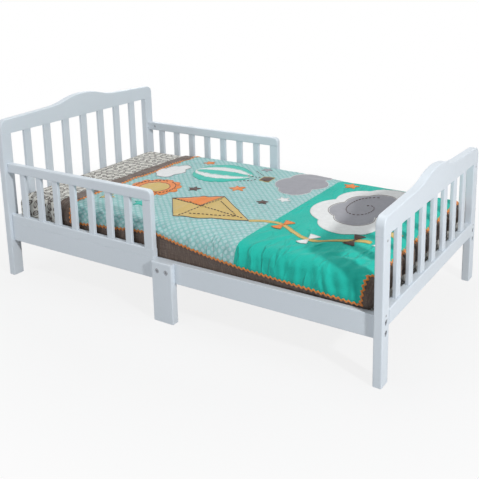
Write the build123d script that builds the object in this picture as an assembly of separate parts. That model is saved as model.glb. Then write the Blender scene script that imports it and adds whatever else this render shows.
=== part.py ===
from build123d import *
import os
from math import atan2, cos, sin, sqrt

# Toddler bed of painted wood: a headboard and a footboard with humped crest rails and flat slats, side
# rails with guards on the head half, centre legs, a slatted deck, and a mattress with sheet and quilt.
# Millimetres. The origin is on the floor under the middle of the bed, +X points to the footboard, +Z up.

# Mattress that the bed is built around, and the heights of the two boards
MATTRESS_LENGTH = 1312.0
MATTRESS_WIDTH = 692.0
MATTRESS_THICKNESS = 127.0
TUCK_CLEARANCE = 2.0
HEADBOARD_POST_HEIGHT = 502.0
FOOTBOARD_POST_HEIGHT = 404.0

# Posts and crest rails
BOARD_THICKNESS = 25.0
POST_WIDTH = 42.0
EDGE_ROUND = 3.5
FOOT_CHAMFER = 2.0
JOINT_LINE = 0.8
EASED_EDGE = 1.2
CREST_END_HEIGHT = 48.0
CREST_CORNER_RADIUS = 26.0
CREST_SLOPE_RISE = 8.0
HUMP_RISE = 27.0
HUMP_HALF_SPAN = 172.0

# Lower rails and slats of the two boards
LOWER_RAIL_HEIGHT = 44.0
LOWER_RAIL_LIFT = 31.0
BOARD_SLAT_COUNT = 7
BOARD_SLAT_WIDTH = 30.0
BOARD_SLAT_THICKNESS = 12.0
BOARD_SLAT_SEAT = 10.0
SLAT_EDGE_ROUND = 3.0
SLAT_END_GAP = 1.0
MORTISE_CLEARANCE = 0.2

# Side rails
SIDE_RAIL_BOTTOM = 127.0
SIDE_RAIL_HEIGHT = 64.0
SIDE_RAIL_THICKNESS = 20.0
SIDE_RAIL_SETBACK = 12.0

# Guards
GUARD_LEG_GAP = 4.0
GUARD_HEIGHT = 211.0
GUARD_TOP_RAIL_HEIGHT = 32.0
GUARD_BOTTOM_RAIL_HEIGHT = 29.0
GUARD_CORNER_RADIUS = 16.0
GUARD_POST_WIDTH = 34.0
GUARD_SLAT_COUNT = 7
GUARD_SLAT_WIDTH = 25.0
GUARD_SLAT_THICKNESS = 12.0
GUARD_SLAT_SEAT = 8.0

# Centre legs
LEG_WIDTH = 74.0
LEG_LAP = 16.0
LEG_SHOULDER = 8.0
LEG_BOLT_SPACING = 33.0
LEG_BOLT_DROP = 28.0

# Deck
LEDGER_HEIGHT = 20.0
LEDGER_THICKNESS = 18.0
LEDGER_NUT_GAP = 5.0
DECK_SLAT_COUNT = 10
DECK_SLAT_WIDTH = 60.0
DECK_SLAT_THICKNESS = 10.0
DECK_END_GAP = 1.0
DECK_EDGE_ROUND = 2.0

# Bolts and their nuts
BOLT_DIAMETER = 6.0
BOLT_HOLE_CLEARANCE = 1.0
BOLT_HEAD_DIAMETER = 15.0
BOLT_HEAD_HEIGHT = 5.0
BOLT_HEAD_RECESS = 1.2
BOLT_HEAD_CLEARANCE = 1.0
BOLT_SOCKET_ACROSS_FLATS = 5.0
BOLT_SOCKET_DEPTH = 3.0
BOLT_TIP = 3.0
BOLT_SPACING = 30.0
BARREL_NUT_DIAMETER = 10.0
BARREL_NUT_LENGTH = 14.0
BARREL_NUT_INSET = 36.0
NUT_CLEARANCE = 0.3
THREAD_CLEARANCE = 0.2
TEE_NUT_DIAMETER = 9.0
TEE_NUT_LENGTH = 9.0
TEE_NUT_FLANGE_DIAMETER = 18.0
TEE_NUT_FLANGE_THICKNESS = 1.5

# Dowels and the pins that lock them
CREST_DOWEL_DIAMETER = 12.0
CREST_DOWEL_REACH = 30.0
RAIL_DOWEL_DIAMETER = 10.0
RAIL_DOWEL_REACH = 27.0
RAIL_DOWEL_DROP = 10.0
GUARD_DOWEL_DIAMETER = 8.0
GUARD_DOWEL_REACH = 18.0
GUARD_DOWEL_SPACING = 16.0
DOWEL_CLEARANCE = 0.2
PIN_DIAMETER = 7.0
PIN_LENGTH = 20.0
CREST_PIN_DROP = 15.0

# Screws
SCREW_DIAMETER = 4.0
SCREW_HEAD_DIAMETER = 8.0
SCREW_CLEARANCE = 0.3
LEDGER_SCREW_BITE = 13.0
DECK_SCREW_BITE = 14.0
GUARD_SCREW_DIAMETER = 6.0
GUARD_SCREW_HEAD_DIAMETER = 10.0
GUARD_SCREW_HEAD_HEIGHT = 4.0
GUARD_SCREW_RECESS = 14.0
GUARD_SCREW_BITE = 16.0

# Bedding
MATTRESS_CROWN = 6.0
MATTRESS_CORNER_RADIUS = 32.0
MATTRESS_EDGE_RADIUS = 16.0
SHEET_THICKNESS = 2.0
SHEET_HEM_HEIGHT = 8.0
SOFT_GAP = 0.4
QUILT_LOFT = 13.0
QUILT_SIDE_THICKNESS = 5.0
QUILT_COVERED_LENGTH = 1123.0
QUILT_HEM_DROP = 14.0
QUILT_EDGE_SHARE = 0.7
FOLD_HEIGHT = 3.0
FOLD_TOP_HEIGHT = 0.8
FOLD_WIDTH = 84.0
FOLD_TOP_WIDTH = 40.0
FOLD_ROOT = 1.5
FOLD_TOP_DROP = 34.0
SIDE_FOLD_COUNT = 9
FOOT_FOLD_COUNT = 5

# Levels and faces that follow from the sizes above
tuck_room = SHEET_THICKNESS + QUILT_SIDE_THICKNESS + FOLD_HEIGHT + TUCK_CLEARANCE
half_inside = MATTRESS_LENGTH / 2 + tuck_room
half_width = MATTRESS_WIDTH / 2 + tuck_room + SIDE_RAIL_THICKNESS + SIDE_RAIL_SETBACK
side_rail_top = SIDE_RAIL_BOTTOM + SIDE_RAIL_HEIGHT
side_rail_middle = SIDE_RAIL_BOTTOM + SIDE_RAIL_HEIGHT / 2
rail_outer = half_width - SIDE_RAIL_SETBACK
rail_inner = rail_outer - SIDE_RAIL_THICKNESS
rail_axis = (rail_outer + rail_inner) / 2
lower_rail_bottom = SIDE_RAIL_BOTTOM + LOWER_RAIL_LIFT
lower_rail_top = lower_rail_bottom + LOWER_RAIL_HEIGHT
guard_end = -LEG_WIDTH / 2 - GUARD_LEG_GAP
guard_top = side_rail_top + GUARD_HEIGHT
guard_top_rail_bottom = guard_top - GUARD_TOP_RAIL_HEIGHT
guard_bottom_rail_top = side_rail_top + GUARD_BOTTOM_RAIL_HEIGHT
ledger_top = SIDE_RAIL_BOTTOM + LEDGER_HEIGHT
deck_top = ledger_top + DECK_SLAT_THICKNESS
deck_pitch = 2 * half_inside / DECK_SLAT_COUNT
deck_centres = [deck_pitch * (i + 0.5) - half_inside for i in range(DECK_SLAT_COUNT)]
head_bore_depth = BOLT_HEAD_HEIGHT + BOLT_HEAD_RECESS
bolt_hole = BOLT_DIAMETER + BOLT_HOLE_CLEARANCE
barrel_nut_reach = BARREL_NUT_INSET + BARREL_NUT_DIAMETER / 2 + BOLT_TIP

SIDES = {"front": -1, "back": 1}
ENDS = {"headboard": -1, "footboard": 1}
POST_HEIGHTS = {"headboard": HEADBOARD_POST_HEIGHT, "footboard": FOOTBOARD_POST_HEIGHT}
LENGTHWISE = (1, 0, 0)
UP = (0, 0, 1)
DOWN = (0, 0, -1)

nodes = {}
groups = {}


def add_to_group(name, solid):
    """Adds one piece to a node that holds several alike."""
    groups.setdefault(name, []).append(solid)


def block(x, y, z):
    """Square-edged block between limits on X, Y and Z."""
    limits = [sorted(pair) for pair in (x, y, z)]
    size = [high - low for low, high in limits]
    centre = [(low + high) / 2 for low, high in limits]
    return Pos(*centre) * Box(*size)


def bar(x, y, z, along, edge):
    """Straight bar between limits on X, Y and Z, with the edges along one axis rounded."""
    return fillet(block(x, y, z).edges().filter_by(along), edge)


def rail_bar(x, y, z, low_edge, high_edge):
    """Bar along the bed whose lower and upper edges are rounded by their own radii."""
    body = block(x, y, z)
    body = fillet(body.edges().filter_by(Axis.X).group_by(Axis.Z)[0], low_edge)
    return fillet(body.edges().filter_by(Axis.X).group_by(Axis.Z)[-1], high_edge)


def rod(start, direction, diameter, length):
    """Cylinder that starts at a point and runs along a direction."""
    return extrude(Plane(start, z_dir=direction) * Circle(diameter / 2), length)


def bolt(seat, direction, length):
    """Bolt with a flat round head and a hexagon socket. The head's underside is at the seat."""
    away = tuple(-value for value in direction)
    head = rod(seat, away, BOLT_HEAD_DIAMETER, BOLT_HEAD_HEIGHT)
    crown = Plane(seat, z_dir=away).offset(BOLT_HEAD_HEIGHT)
    socket = extrude(crown * RegularPolygon(BOLT_SOCKET_ACROSS_FLATS / 2, 6, major_radius=False),
                     -BOLT_SOCKET_DEPTH)
    return head + rod(seat, direction, BOLT_DIAMETER, length) - socket


def screw(top, direction, length, clearance=0.0):
    """Countersunk screw with its flat head at a point. A clearance makes the hole for it."""
    radius = (SCREW_DIAMETER + clearance) / 2
    head_radius = (SCREW_HEAD_DIAMETER + clearance) / 2
    head_depth = head_radius - radius
    outline = Polyline((0, 0), (head_radius, 0), (radius, head_depth), (radius, length), (0, length),
                       close=True)
    turned = revolve(make_face(outline), Axis.Y)
    return Plane(top, x_dir=LENGTHWISE, z_dir=direction) * Rot(90, 0, 0) * turned


def slat_centres(low, high, count, width):
    """Middles of slats that leave equal gaps between two faces."""
    gap = (high - low - count * width) / (count + 1)
    return [low + gap + width / 2 + i * (gap + width) for i in range(count)]


def centred(middle, width):
    """Limits of a width about its middle."""
    return (middle - width / 2, middle + width / 2)


def slat(x, y, z):
    """Upright slat between limits on X, Y and Z, with rounded edges."""
    return bar(x, y, z, Axis.Z, SLAT_EDGE_ROUND)


def mortise(x, y, z):
    """Square-cornered slot that takes the end of a slat with a little room round it."""
    wide_x = (min(x) - MORTISE_CLEARANCE, max(x) + MORTISE_CLEARANCE)
    wide_y = (min(y) - MORTISE_CLEARANCE, max(y) + MORTISE_CLEARANCE)
    return block(wide_x, wide_y, z)


def hump_radius(slope):
    """Radius shared by the hump's hollow arc and its round arc, tangent to the slope and to each other."""
    square_term = 2 * cos(slope) - 2
    line_term = 2 * HUMP_HALF_SPAN * sin(slope) - 2 * HUMP_RISE * (1 + cos(slope))
    constant = HUMP_HALF_SPAN ** 2 + HUMP_RISE ** 2
    return 2 * constant / (sqrt(line_term ** 2 - 4 * square_term * constant) - line_term)


def crest_half(side):
    """Edges of the crest rail's outline on one side of the middle, from the underside to the peak."""
    slope = atan2(CREST_SLOPE_RISE, half_width - HUMP_HALF_SPAN)
    radius = hump_radius(slope)
    hump_foot = CREST_END_HEIGHT + CREST_SLOPE_RISE
    hollow = Vector(HUMP_HALF_SPAN + radius * sin(slope), hump_foot + radius * cos(slope))
    crown = Vector(0, hump_foot + HUMP_RISE - radius)
    meeting = (hollow + crown) * 0.5
    underside = Line((0, 0), (side * half_width, 0))
    end = Line(underside @ 1, (side * half_width, CREST_END_HEIGHT))
    ramp = Line(end @ 1, (side * HUMP_HALF_SPAN, hump_foot))
    hollow_arc = TangentArc(ramp @ 1, (side * meeting.X, meeting.Y), tangent=ramp % 1)
    round_arc = TangentArc(hollow_arc @ 1, (0, hump_foot + HUMP_RISE), tangent=hollow_arc % 1)
    return [underside, end, ramp, hollow_arc, round_arc]


def crest_rail(outward, underside):
    """Crest rail with rounded corners and edges, before its holes are cut."""
    plane = Plane((outward * half_inside, 0, underside), x_dir=(0, 1, 0), z_dir=(1, 0, 0))
    face = make_face(Curve() + crest_half(1) + crest_half(-1))
    corners = [v for v in face.vertices()
               if abs(abs(v.X) - half_width) < SLAT_END_GAP and v.Y > CREST_END_HEIGHT / 2]
    face = fillet(corners, CREST_CORNER_RADIUS)
    rail = extrude(plane * face, outward * BOARD_THICKNESS)
    sides = rail.faces().filter_by(Axis.X)
    rounded = [e for e in sides.edges() if e.center().Z > underside + SLAT_END_GAP]
    return fillet(rounded, EDGE_ROUND)


def post(outward, side, height):
    """Post of a board with rounded upright edges, a chamfered foot, and an eased top that shows the joint."""
    inside = outward * half_inside
    upright = bar((inside, inside + outward * BOARD_THICKNESS),
                  (side * half_width, side * (half_width - POST_WIDTH)),
                  (0, height), Axis.Z, EDGE_ROUND)
    upright = chamfer(upright.faces().sort_by(Axis.Z)[-1].edges(), JOINT_LINE)
    return chamfer(upright.faces().sort_by(Axis.Z)[0].edges(), FOOT_CHAMFER)


def join_crest(outward, side, height, shapes):
    """Dowel and locking pin between a post and the crest rail, with their holes."""
    axis_x = outward * (half_inside + BOARD_THICKNESS / 2)
    axis_y = side * (half_width - POST_WIDTH / 2)
    foot = (axis_x, axis_y, height - CREST_DOWEL_REACH)
    length = 2 * CREST_DOWEL_REACH
    hole = rod(foot, UP, CREST_DOWEL_DIAMETER + DOWEL_CLEARANCE, length)
    pin_start = (outward * (half_inside + BOARD_THICKNESS), axis_y, height - CREST_PIN_DROP)
    inward = (-outward, 0, 0)
    pin_hole = rod(pin_start, inward, PIN_DIAMETER + DOWEL_CLEARANCE, PIN_LENGTH)
    shapes["post"] = shapes["post"] - hole - pin_hole
    shapes["crest"] = shapes["crest"] - hole
    add_to_group("crest_dowels", rod(foot, UP, CREST_DOWEL_DIAMETER, length) - pin_hole)
    add_to_group("dowel_pins", rod(pin_start, inward, PIN_DIAMETER, PIN_LENGTH))


def join_lower_rail(outward, side, shapes):
    """Dowel and locking pin between a post and the lower rail, with their holes."""
    axis_x = outward * (half_inside + BOARD_THICKNESS / 2)
    shoulder = half_width - POST_WIDTH
    level = lower_rail_top - RAIL_DOWEL_DROP
    start = (axis_x, side * (shoulder - RAIL_DOWEL_REACH), level)
    length = 2 * RAIL_DOWEL_REACH
    hole = rod(start, (0, side, 0), RAIL_DOWEL_DIAMETER + DOWEL_CLEARANCE, length)
    pin_start = (outward * (half_inside + BOARD_THICKNESS), side * (half_width - POST_WIDTH / 2), level)
    inward = (-outward, 0, 0)
    pin_hole = rod(pin_start, inward, PIN_DIAMETER + DOWEL_CLEARANCE, PIN_LENGTH)
    shapes["post"] = shapes["post"] - hole - pin_hole
    shapes["lower"] = shapes["lower"] - hole
    add_to_group("lower_rail_dowels", rod(start, (0, side, 0), RAIL_DOWEL_DIAMETER, length) - pin_hole)
    add_to_group("dowel_pins", rod(pin_start, inward, PIN_DIAMETER, PIN_LENGTH))


def bolt_levels(outward):
    """Heights of the bolts through a post: two for the side rail, and one for the guard at the head."""
    levels = [side_rail_middle - BOLT_SPACING / 2, side_rail_middle + BOLT_SPACING / 2]
    if outward < 0:
        levels.append(guard_top - GUARD_TOP_RAIL_HEIGHT / 2)
    return levels


def bolt_rails(outward, side, shapes):
    """Bolts through a post into the side rail and the guard, with the holes in the post."""
    face = outward * (half_inside + BOARD_THICKNESS)
    inward = (-outward, 0, 0)
    seat = face - outward * head_bore_depth
    length = BOARD_THICKNESS - head_bore_depth + barrel_nut_reach
    for level in bolt_levels(outward):
        start = (face, side * rail_axis, level)
        head_bore = rod(start, inward, BOLT_HEAD_DIAMETER + BOLT_HEAD_CLEARANCE, head_bore_depth)
        through = rod(start, inward, bolt_hole, BOARD_THICKNESS)
        shapes["post"] = shapes["post"] - head_bore - through
        add_to_group("bed_bolts", bolt((seat, side * rail_axis, level), inward, length))


def build_board(name):
    """Headboard or footboard: two posts, crest rail, lower rail and slats."""
    outward = ENDS[name]
    height = POST_HEIGHTS[name]
    inside = outward * half_inside
    outside = inside + outward * BOARD_THICKNESS
    middle = (inside + outside) / 2
    shoulder = half_width - POST_WIDTH
    crest = crest_rail(outward, height)
    lower = bar((inside, outside), (-shoulder, shoulder), (lower_rail_bottom, lower_rail_top),
                Axis.Y, EDGE_ROUND)
    for side_name, side in SIDES.items():
        shapes = {"post": post(outward, side, height), "crest": crest, "lower": lower}
        join_crest(outward, side, height, shapes)
        join_lower_rail(outward, side, shapes)
        bolt_rails(outward, side, shapes)
        nodes[f"{name}_{side_name}_post"] = shapes["post"]
        crest = shapes["crest"]
        lower = shapes["lower"]
    foot = lower_rail_top - BOARD_SLAT_SEAT
    top = height + BOARD_SLAT_SEAT
    depth = centred(middle, BOARD_SLAT_THICKNESS)
    for i, y in enumerate(slat_centres(-shoulder, shoulder, BOARD_SLAT_COUNT, BOARD_SLAT_WIDTH)):
        width = centred(y, BOARD_SLAT_WIDTH)
        crest -= mortise(depth, width, (height, top))
        lower -= mortise(depth, width, (foot, lower_rail_top))
        nodes[f"{name}_slat_{i + 1}"] = slat(depth, width, (foot, top - SLAT_END_GAP))
    nodes[f"{name}_crest_rail"] = crest
    nodes[f"{name}_lower_rail"] = lower


def barrel_nut_joint(rail, end, side, level):
    """Bolt hole and barrel nut in the end of a rail. Returns the rail with both holes."""
    inward = -end
    hole_start = (end * half_inside, side * rail_axis, level)
    bolt_bore = rod(hole_start, (inward, 0, 0), bolt_hole, barrel_nut_reach + BOLT_HOLE_CLEARANCE)
    nut_x = end * (half_inside - BARREL_NUT_INSET)
    nut_end = side * (rail_axis + BARREL_NUT_LENGTH / 2)
    nut_depth = abs(nut_end) - rail_inner
    nut_start = (nut_x, side * rail_inner, level)
    nut_bore = rod(nut_start, (0, side, 0), BARREL_NUT_DIAMETER + NUT_CLEARANCE, nut_depth)
    nut = rod((nut_x, nut_end, level), (0, -side, 0), BARREL_NUT_DIAMETER, BARREL_NUT_LENGTH)
    thread = rod((nut_x - BARREL_NUT_DIAMETER, side * rail_axis, level), (1, 0, 0),
                 BOLT_DIAMETER + THREAD_CLEARANCE, 2 * BARREL_NUT_DIAMETER)
    add_to_group("barrel_nuts", nut - thread)
    return rail - bolt_bore - nut_bore


def leg_bolt_joint(rail, leg, x, side):
    """Bolt and tee nut that hold a centre leg to its side rail. Returns both with their holes."""
    level = side_rail_top - LEG_BOLT_DROP
    outer = rail_outer + LEG_LAP
    inward = (0, -side, 0)
    start = (x, side * outer, level)
    depth = LEG_LAP + SIDE_RAIL_THICKNESS
    through = rod(start, inward, bolt_hole, depth)
    head_bore = rod(start, inward, BOLT_HEAD_DIAMETER + BOLT_HEAD_CLEARANCE, head_bore_depth)
    inner = (x, side * rail_inner, level)
    outward = (0, side, 0)
    sleeve_bore = rod(inner, outward, TEE_NUT_DIAMETER + NUT_CLEARANCE, TEE_NUT_LENGTH)
    flange_bore = rod(inner, outward, TEE_NUT_FLANGE_DIAMETER + NUT_CLEARANCE, TEE_NUT_FLANGE_THICKNESS)
    nut = rod(inner, outward, TEE_NUT_DIAMETER, TEE_NUT_LENGTH)
    nut += rod(inner, outward, TEE_NUT_FLANGE_DIAMETER, TEE_NUT_FLANGE_THICKNESS)
    add_to_group("leg_nuts", nut - rod(inner, outward, BOLT_DIAMETER + THREAD_CLEARANCE, TEE_NUT_LENGTH))
    seat = (x, side * (outer - head_bore_depth), level)
    add_to_group("leg_bolts", bolt(seat, inward, depth - head_bore_depth - TEE_NUT_FLANGE_THICKNESS))
    return rail - through - sleeve_bore - flange_bore, leg - through - head_bore


def centre_leg(side):
    """Leg with a shoulder under the side rail and a lap over its outer face."""
    outer = side * (rail_outer + LEG_LAP)
    face = side * rail_outer
    shoulder = side * (rail_outer - LEG_SHOULDER)
    outline = Polyline((outer, 0), (outer, side_rail_top), (face, side_rail_top), (face, SIDE_RAIL_BOTTOM),
                       (shoulder, SIDE_RAIL_BOTTOM), (shoulder, 0), close=True)
    plane = Plane((-LEG_WIDTH / 2, 0, 0), x_dir=(0, 1, 0), z_dir=(1, 0, 0))
    leg = extrude(plane * make_face(outline), LEG_WIDTH)
    outer_face = leg.faces().sort_by(Axis.Y)[0 if side < 0 else -1]
    rounded = [e for e in outer_face.edges() if e.center().Z > FOOT_CHAMFER]
    leg = fillet(rounded, EDGE_ROUND)
    return chamfer(leg.faces().sort_by(Axis.Z)[0].edges(), FOOT_CHAMFER)


def guard_screw_holes(rail, bottom_rail, x, side):
    """Long screw from under the side rail into the guard. Returns both rails with their holes."""
    start = (x, side * rail_axis, SIDE_RAIL_BOTTOM)
    seat = (x, side * rail_axis, SIDE_RAIL_BOTTOM + GUARD_SCREW_RECESS)
    length = SIDE_RAIL_HEIGHT - GUARD_SCREW_RECESS + GUARD_SCREW_BITE
    head_bore = rod(start, UP, GUARD_SCREW_HEAD_DIAMETER + SCREW_CLEARANCE, GUARD_SCREW_RECESS)
    bore = rod(seat, UP, GUARD_SCREW_DIAMETER + SCREW_CLEARANCE, length)
    shank = rod(seat, UP, GUARD_SCREW_DIAMETER, length)
    add_to_group("guard_screws", shank + rod(seat, DOWN, GUARD_SCREW_HEAD_DIAMETER, GUARD_SCREW_HEAD_HEIGHT))
    return rail - head_bore - bore, bottom_rail - bore


def ledger_and_screws(rail, side):
    """Ledger inside a side rail with its screws. Returns the ledger and the rail with screw holes."""
    reach = half_inside - BARREL_NUT_INSET - BARREL_NUT_DIAMETER / 2 - LEDGER_NUT_GAP
    inner = rail_inner - LEDGER_THICKNESS
    ledger = bar((-reach, reach), (side * inner, side * rail_inner), (SIDE_RAIL_BOTTOM, ledger_top),
                 Axis.X, DECK_EDGE_ROUND)
    level = SIDE_RAIL_BOTTOM + LEDGER_HEIGHT / 2
    length = LEDGER_THICKNESS + LEDGER_SCREW_BITE
    for left, right in zip(deck_centres[:-1:2], deck_centres[1::2]):
        top = ((left + right) / 2, side * inner, level)
        outward = (0, side, 0)
        hole = screw(top, outward, length, SCREW_CLEARANCE)
        ledger -= hole
        rail -= hole
        add_to_group("ledger_screws", screw(top, outward, length))
    axis = side * (inner + LEDGER_THICKNESS / 2)
    for x in deck_centres:
        ledger -= screw((x, axis, deck_top), DOWN, DECK_SLAT_THICKNESS + DECK_SCREW_BITE, SCREW_CLEARANCE)
    return ledger, rail


def build_deck():
    """Deck slats across the two ledgers, each with a screw at either end."""
    reach = rail_inner - DECK_END_GAP
    axis = rail_inner - LEDGER_THICKNESS / 2
    length = DECK_SLAT_THICKNESS + DECK_SCREW_BITE
    for i, x in enumerate(deck_centres):
        board = bar(centred(x, DECK_SLAT_WIDTH), (-reach, reach), (ledger_top, deck_top), Axis.Y,
                    DECK_EDGE_ROUND)
        for side in SIDES.values():
            top = (x, side * axis, deck_top)
            board -= screw(top, DOWN, length, SCREW_CLEARANCE)
            add_to_group("deck_screws", screw(top, DOWN, length))
        nodes[f"deck_slat_{i + 1}"] = board


def guard_top_rail(side):
    """Top rail of a guard with one large rounded corner at its free end."""
    rail = block((-half_inside, guard_end), (side * rail_inner, side * rail_outer),
                 (guard_top_rail_bottom, guard_top))
    corner = rail.edges().filter_by(Axis.Y).group_by(Axis.X)[-1].sort_by(Axis.Z)[-1]
    rail = fillet(corner, GUARD_CORNER_RADIUS)
    faces = rail.faces().filter_by(Axis.Y)
    rounded = [e for e in faces.edges() if e.center().X > -half_inside + SLAT_END_GAP]
    return fillet(rounded, EDGE_ROUND)


def build_guard(name, side, side_rail):
    """Guard on a side rail. Returns the side rail with the holes for the guard's screws."""
    y = side * rail_axis
    faces = (side * rail_inner, side * rail_outer)
    top_rail = barrel_nut_joint(guard_top_rail(side), -1, side, guard_top - GUARD_TOP_RAIL_HEIGHT / 2)
    bottom_rail = rail_bar((-half_inside, guard_end), faces, (side_rail_top, guard_bottom_rail_top),
                           EASED_EDGE, EDGE_ROUND)
    post_start = guard_end - GUARD_POST_WIDTH
    end_post = bar((post_start, guard_end), faces, (guard_bottom_rail_top, guard_top_rail_bottom),
                   Axis.Z, EDGE_ROUND)
    for offset in (-GUARD_DOWEL_SPACING / 2, GUARD_DOWEL_SPACING / 2):
        for level in (guard_bottom_rail_top, guard_top_rail_bottom):
            foot = (guard_end - GUARD_POST_WIDTH / 2 + offset, y, level - GUARD_DOWEL_REACH)
            hole = rod(foot, UP, GUARD_DOWEL_DIAMETER + DOWEL_CLEARANCE, 2 * GUARD_DOWEL_REACH)
            end_post -= hole
            top_rail -= hole
            bottom_rail -= hole
            add_to_group("guard_dowels", rod(foot, UP, GUARD_DOWEL_DIAMETER, 2 * GUARD_DOWEL_REACH))
    foot = guard_bottom_rail_top - GUARD_SLAT_SEAT
    top = guard_top_rail_bottom + GUARD_SLAT_SEAT
    depth = centred(y, GUARD_SLAT_THICKNESS)
    for x in slat_centres(-half_inside, post_start, GUARD_SLAT_COUNT, GUARD_SLAT_WIDTH):
        width = centred(x, GUARD_SLAT_WIDTH)
        top_rail -= mortise(width, depth, (guard_top_rail_bottom, top))
        bottom_rail -= mortise(width, depth, (foot, guard_bottom_rail_top))
        add_to_group(f"{name}_guard_slats", slat(width, depth, (foot, top - SLAT_END_GAP)))
    for x in deck_centres:
        if x < post_start - GUARD_SCREW_HEAD_DIAMETER:
            side_rail, bottom_rail = guard_screw_holes(side_rail, bottom_rail, x, side)
    nodes[f"{name}_guard_top_rail"] = top_rail
    nodes[f"{name}_guard_bottom_rail"] = bottom_rail
    nodes[f"{name}_guard_end_post"] = end_post
    return side_rail


def build_side(name, side):
    """Side rail with its guard, centre leg and ledger."""
    rail = rail_bar((-half_inside, half_inside), (side * rail_inner, side * rail_outer),
                    (SIDE_RAIL_BOTTOM, side_rail_top), EDGE_ROUND, EASED_EDGE)
    for end in ENDS.values():
        for level in bolt_levels(1):
            rail = barrel_nut_joint(rail, end, side, level)
    leg = centre_leg(side)
    for x in (-LEG_BOLT_SPACING / 2, LEG_BOLT_SPACING / 2):
        rail, leg = leg_bolt_joint(rail, leg, x, side)
    ledger, rail = ledger_and_screws(rail, side)
    rail = build_guard(name, side, rail)
    nodes[f"{name}_side_rail"] = rail
    nodes[f"{name}_center_leg"] = leg
    nodes[f"{name}_ledger"] = ledger


def cushion(length, width, base, thickness, corner, edge):
    """Soft block with rounded corners, a top crowned across the bed and drawn-in edges."""
    body = Pos(0, 0, base) * extrude(RectangleRounded(length, width, corner), thickness + MATTRESS_CROWN)
    radius = MATTRESS_CROWN / 2 + width ** 2 / (8 * MATTRESS_CROWN)
    axis_level = base + thickness + MATTRESS_CROWN - radius
    dome = Pos(0, 0, axis_level) * Rot(0, 90, 0) * Cylinder(radius, 2 * length)
    body = body & dome
    top = body.faces().sort_by(Axis.Z)[-1]
    bottom = body.faces().sort_by(Axis.Z)[0]
    return fillet(top.outer_wire().edges() + bottom.outer_wire().edges(), edge)


def grown_cushion(grow, lift):
    """The mattress form grown on its sides, with its top raised."""
    return cushion(MATTRESS_LENGTH + 2 * grow, MATTRESS_WIDTH + 2 * grow, deck_top - grow,
                   MATTRESS_THICKNESS + grow + lift, MATTRESS_CORNER_RADIUS + grow, MATTRESS_EDGE_RADIUS)


def slab_above(level, start):
    """Large block that keeps what lies above a level and past a place along the bed."""
    height = guard_top - level
    length = half_inside - start
    return Pos(start + length / 2, 0, level + height / 2) * Box(length, 2 * half_width, height)


def fold_section(width, rise):
    """Cross-section of a soft fold: a shallow arc on a short root."""
    arc = ThreePointArc((-width / 2, 0), (0, rise), (width / 2, 0))
    root = Polyline((width / 2, 0), (width / 2, -FOLD_ROOT), (-width / 2, -FOLD_ROOT), (-width / 2, 0))
    return make_face(arc + root)


def fold(x, y, outward, hem, top):
    """Fold of hanging cloth that widens from its top to the hem."""
    along = (-outward[1], outward[0], 0)
    low = Plane((x, y, hem), x_dir=along, z_dir=DOWN) * fold_section(FOLD_WIDTH, FOLD_HEIGHT)
    high = Plane((x, y, top), x_dir=along, z_dir=DOWN) * fold_section(FOLD_TOP_WIDTH, FOLD_TOP_HEIGHT)
    return loft([low, high], ruled=True)


def round_head_edge(quilt):
    """Softens the outer rim of the quilt's end across the bed."""
    end = quilt.faces().filter_by(Axis.X).sort_by(Axis.X)[0]
    inner_side = MATTRESS_WIDTH / 2 + SHEET_THICKNESS
    inner_top = deck_top + MATTRESS_THICKNESS + MATTRESS_CROWN + QUILT_LOFT / 2
    edge = QUILT_EDGE_SHARE * QUILT_SIDE_THICKNESS
    rim = [e for e in end.edges() if e.center().Z > inner_top or abs(e.center().Y) > inner_side + edge]
    return fillet(rim, edge)


def build_bedding():
    """Mattress, fitted sheet over it, and quilt over both with folds in its hanging sides."""
    mattress = grown_cushion(0, 0)
    sheet = grown_cushion(SHEET_THICKNESS, SHEET_THICKNESS + SOFT_GAP) - grown_cushion(0, SOFT_GAP)
    sheet = sheet & slab_above(deck_top + SHEET_HEM_HEIGHT, -half_inside)
    drape = SHEET_THICKNESS + QUILT_SIDE_THICKNESS
    under = SHEET_THICKNESS + 2 * SOFT_GAP
    quilt = grown_cushion(drape, under + QUILT_LOFT) - grown_cushion(SHEET_THICKNESS, under)
    hem = side_rail_top - QUILT_HEM_DROP
    quilt_foot = MATTRESS_LENGTH / 2 + drape
    quilt_head = quilt_foot - QUILT_COVERED_LENGTH
    quilt = round_head_edge(quilt & slab_above(hem, quilt_head))
    fold_top = deck_top + MATTRESS_THICKNESS - FOLD_TOP_DROP
    side_face = MATTRESS_WIDTH / 2 + drape
    for side in SIDES.values():
        for x in slat_centres(quilt_head, MATTRESS_LENGTH / 2, SIDE_FOLD_COUNT, FOLD_WIDTH):
            quilt += fold(x, side * side_face, (0, side), hem, fold_top)
    for y in slat_centres(-MATTRESS_WIDTH / 2, MATTRESS_WIDTH / 2, FOOT_FOLD_COUNT, FOLD_WIDTH):
        quilt += fold(quilt_foot, y, (1, 0), hem, fold_top)
    nodes["mattress"] = mattress
    nodes["fitted_sheet"] = sheet
    nodes["quilt"] = quilt


def write_nodes():
    """Writes one STEP file for each piece or group of alike pieces."""
    os.makedirs("parts", exist_ok=True)
    for name, solids in groups.items():
        nodes[name] = Compound(children=solids)
    for name, shape in nodes.items():
        export_step(shape, f"parts/{name}.step")


for board_name in ENDS:
    build_board(board_name)
for side_name, side_sign in SIDES.items():
    build_side(side_name, side_sign)
build_deck()
build_bedding()
write_nodes()
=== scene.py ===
"""Dresses the toddler bed: painted frame, bare wood deck, steel fittings, mattress, sheet and quilt."""
import math
from collections import namedtuple

import bmesh
import bpy
import numpy as np
from mathutils import Matrix, Vector, geometry, noise
from mathutils.bvhtree import BVHTree


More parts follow.
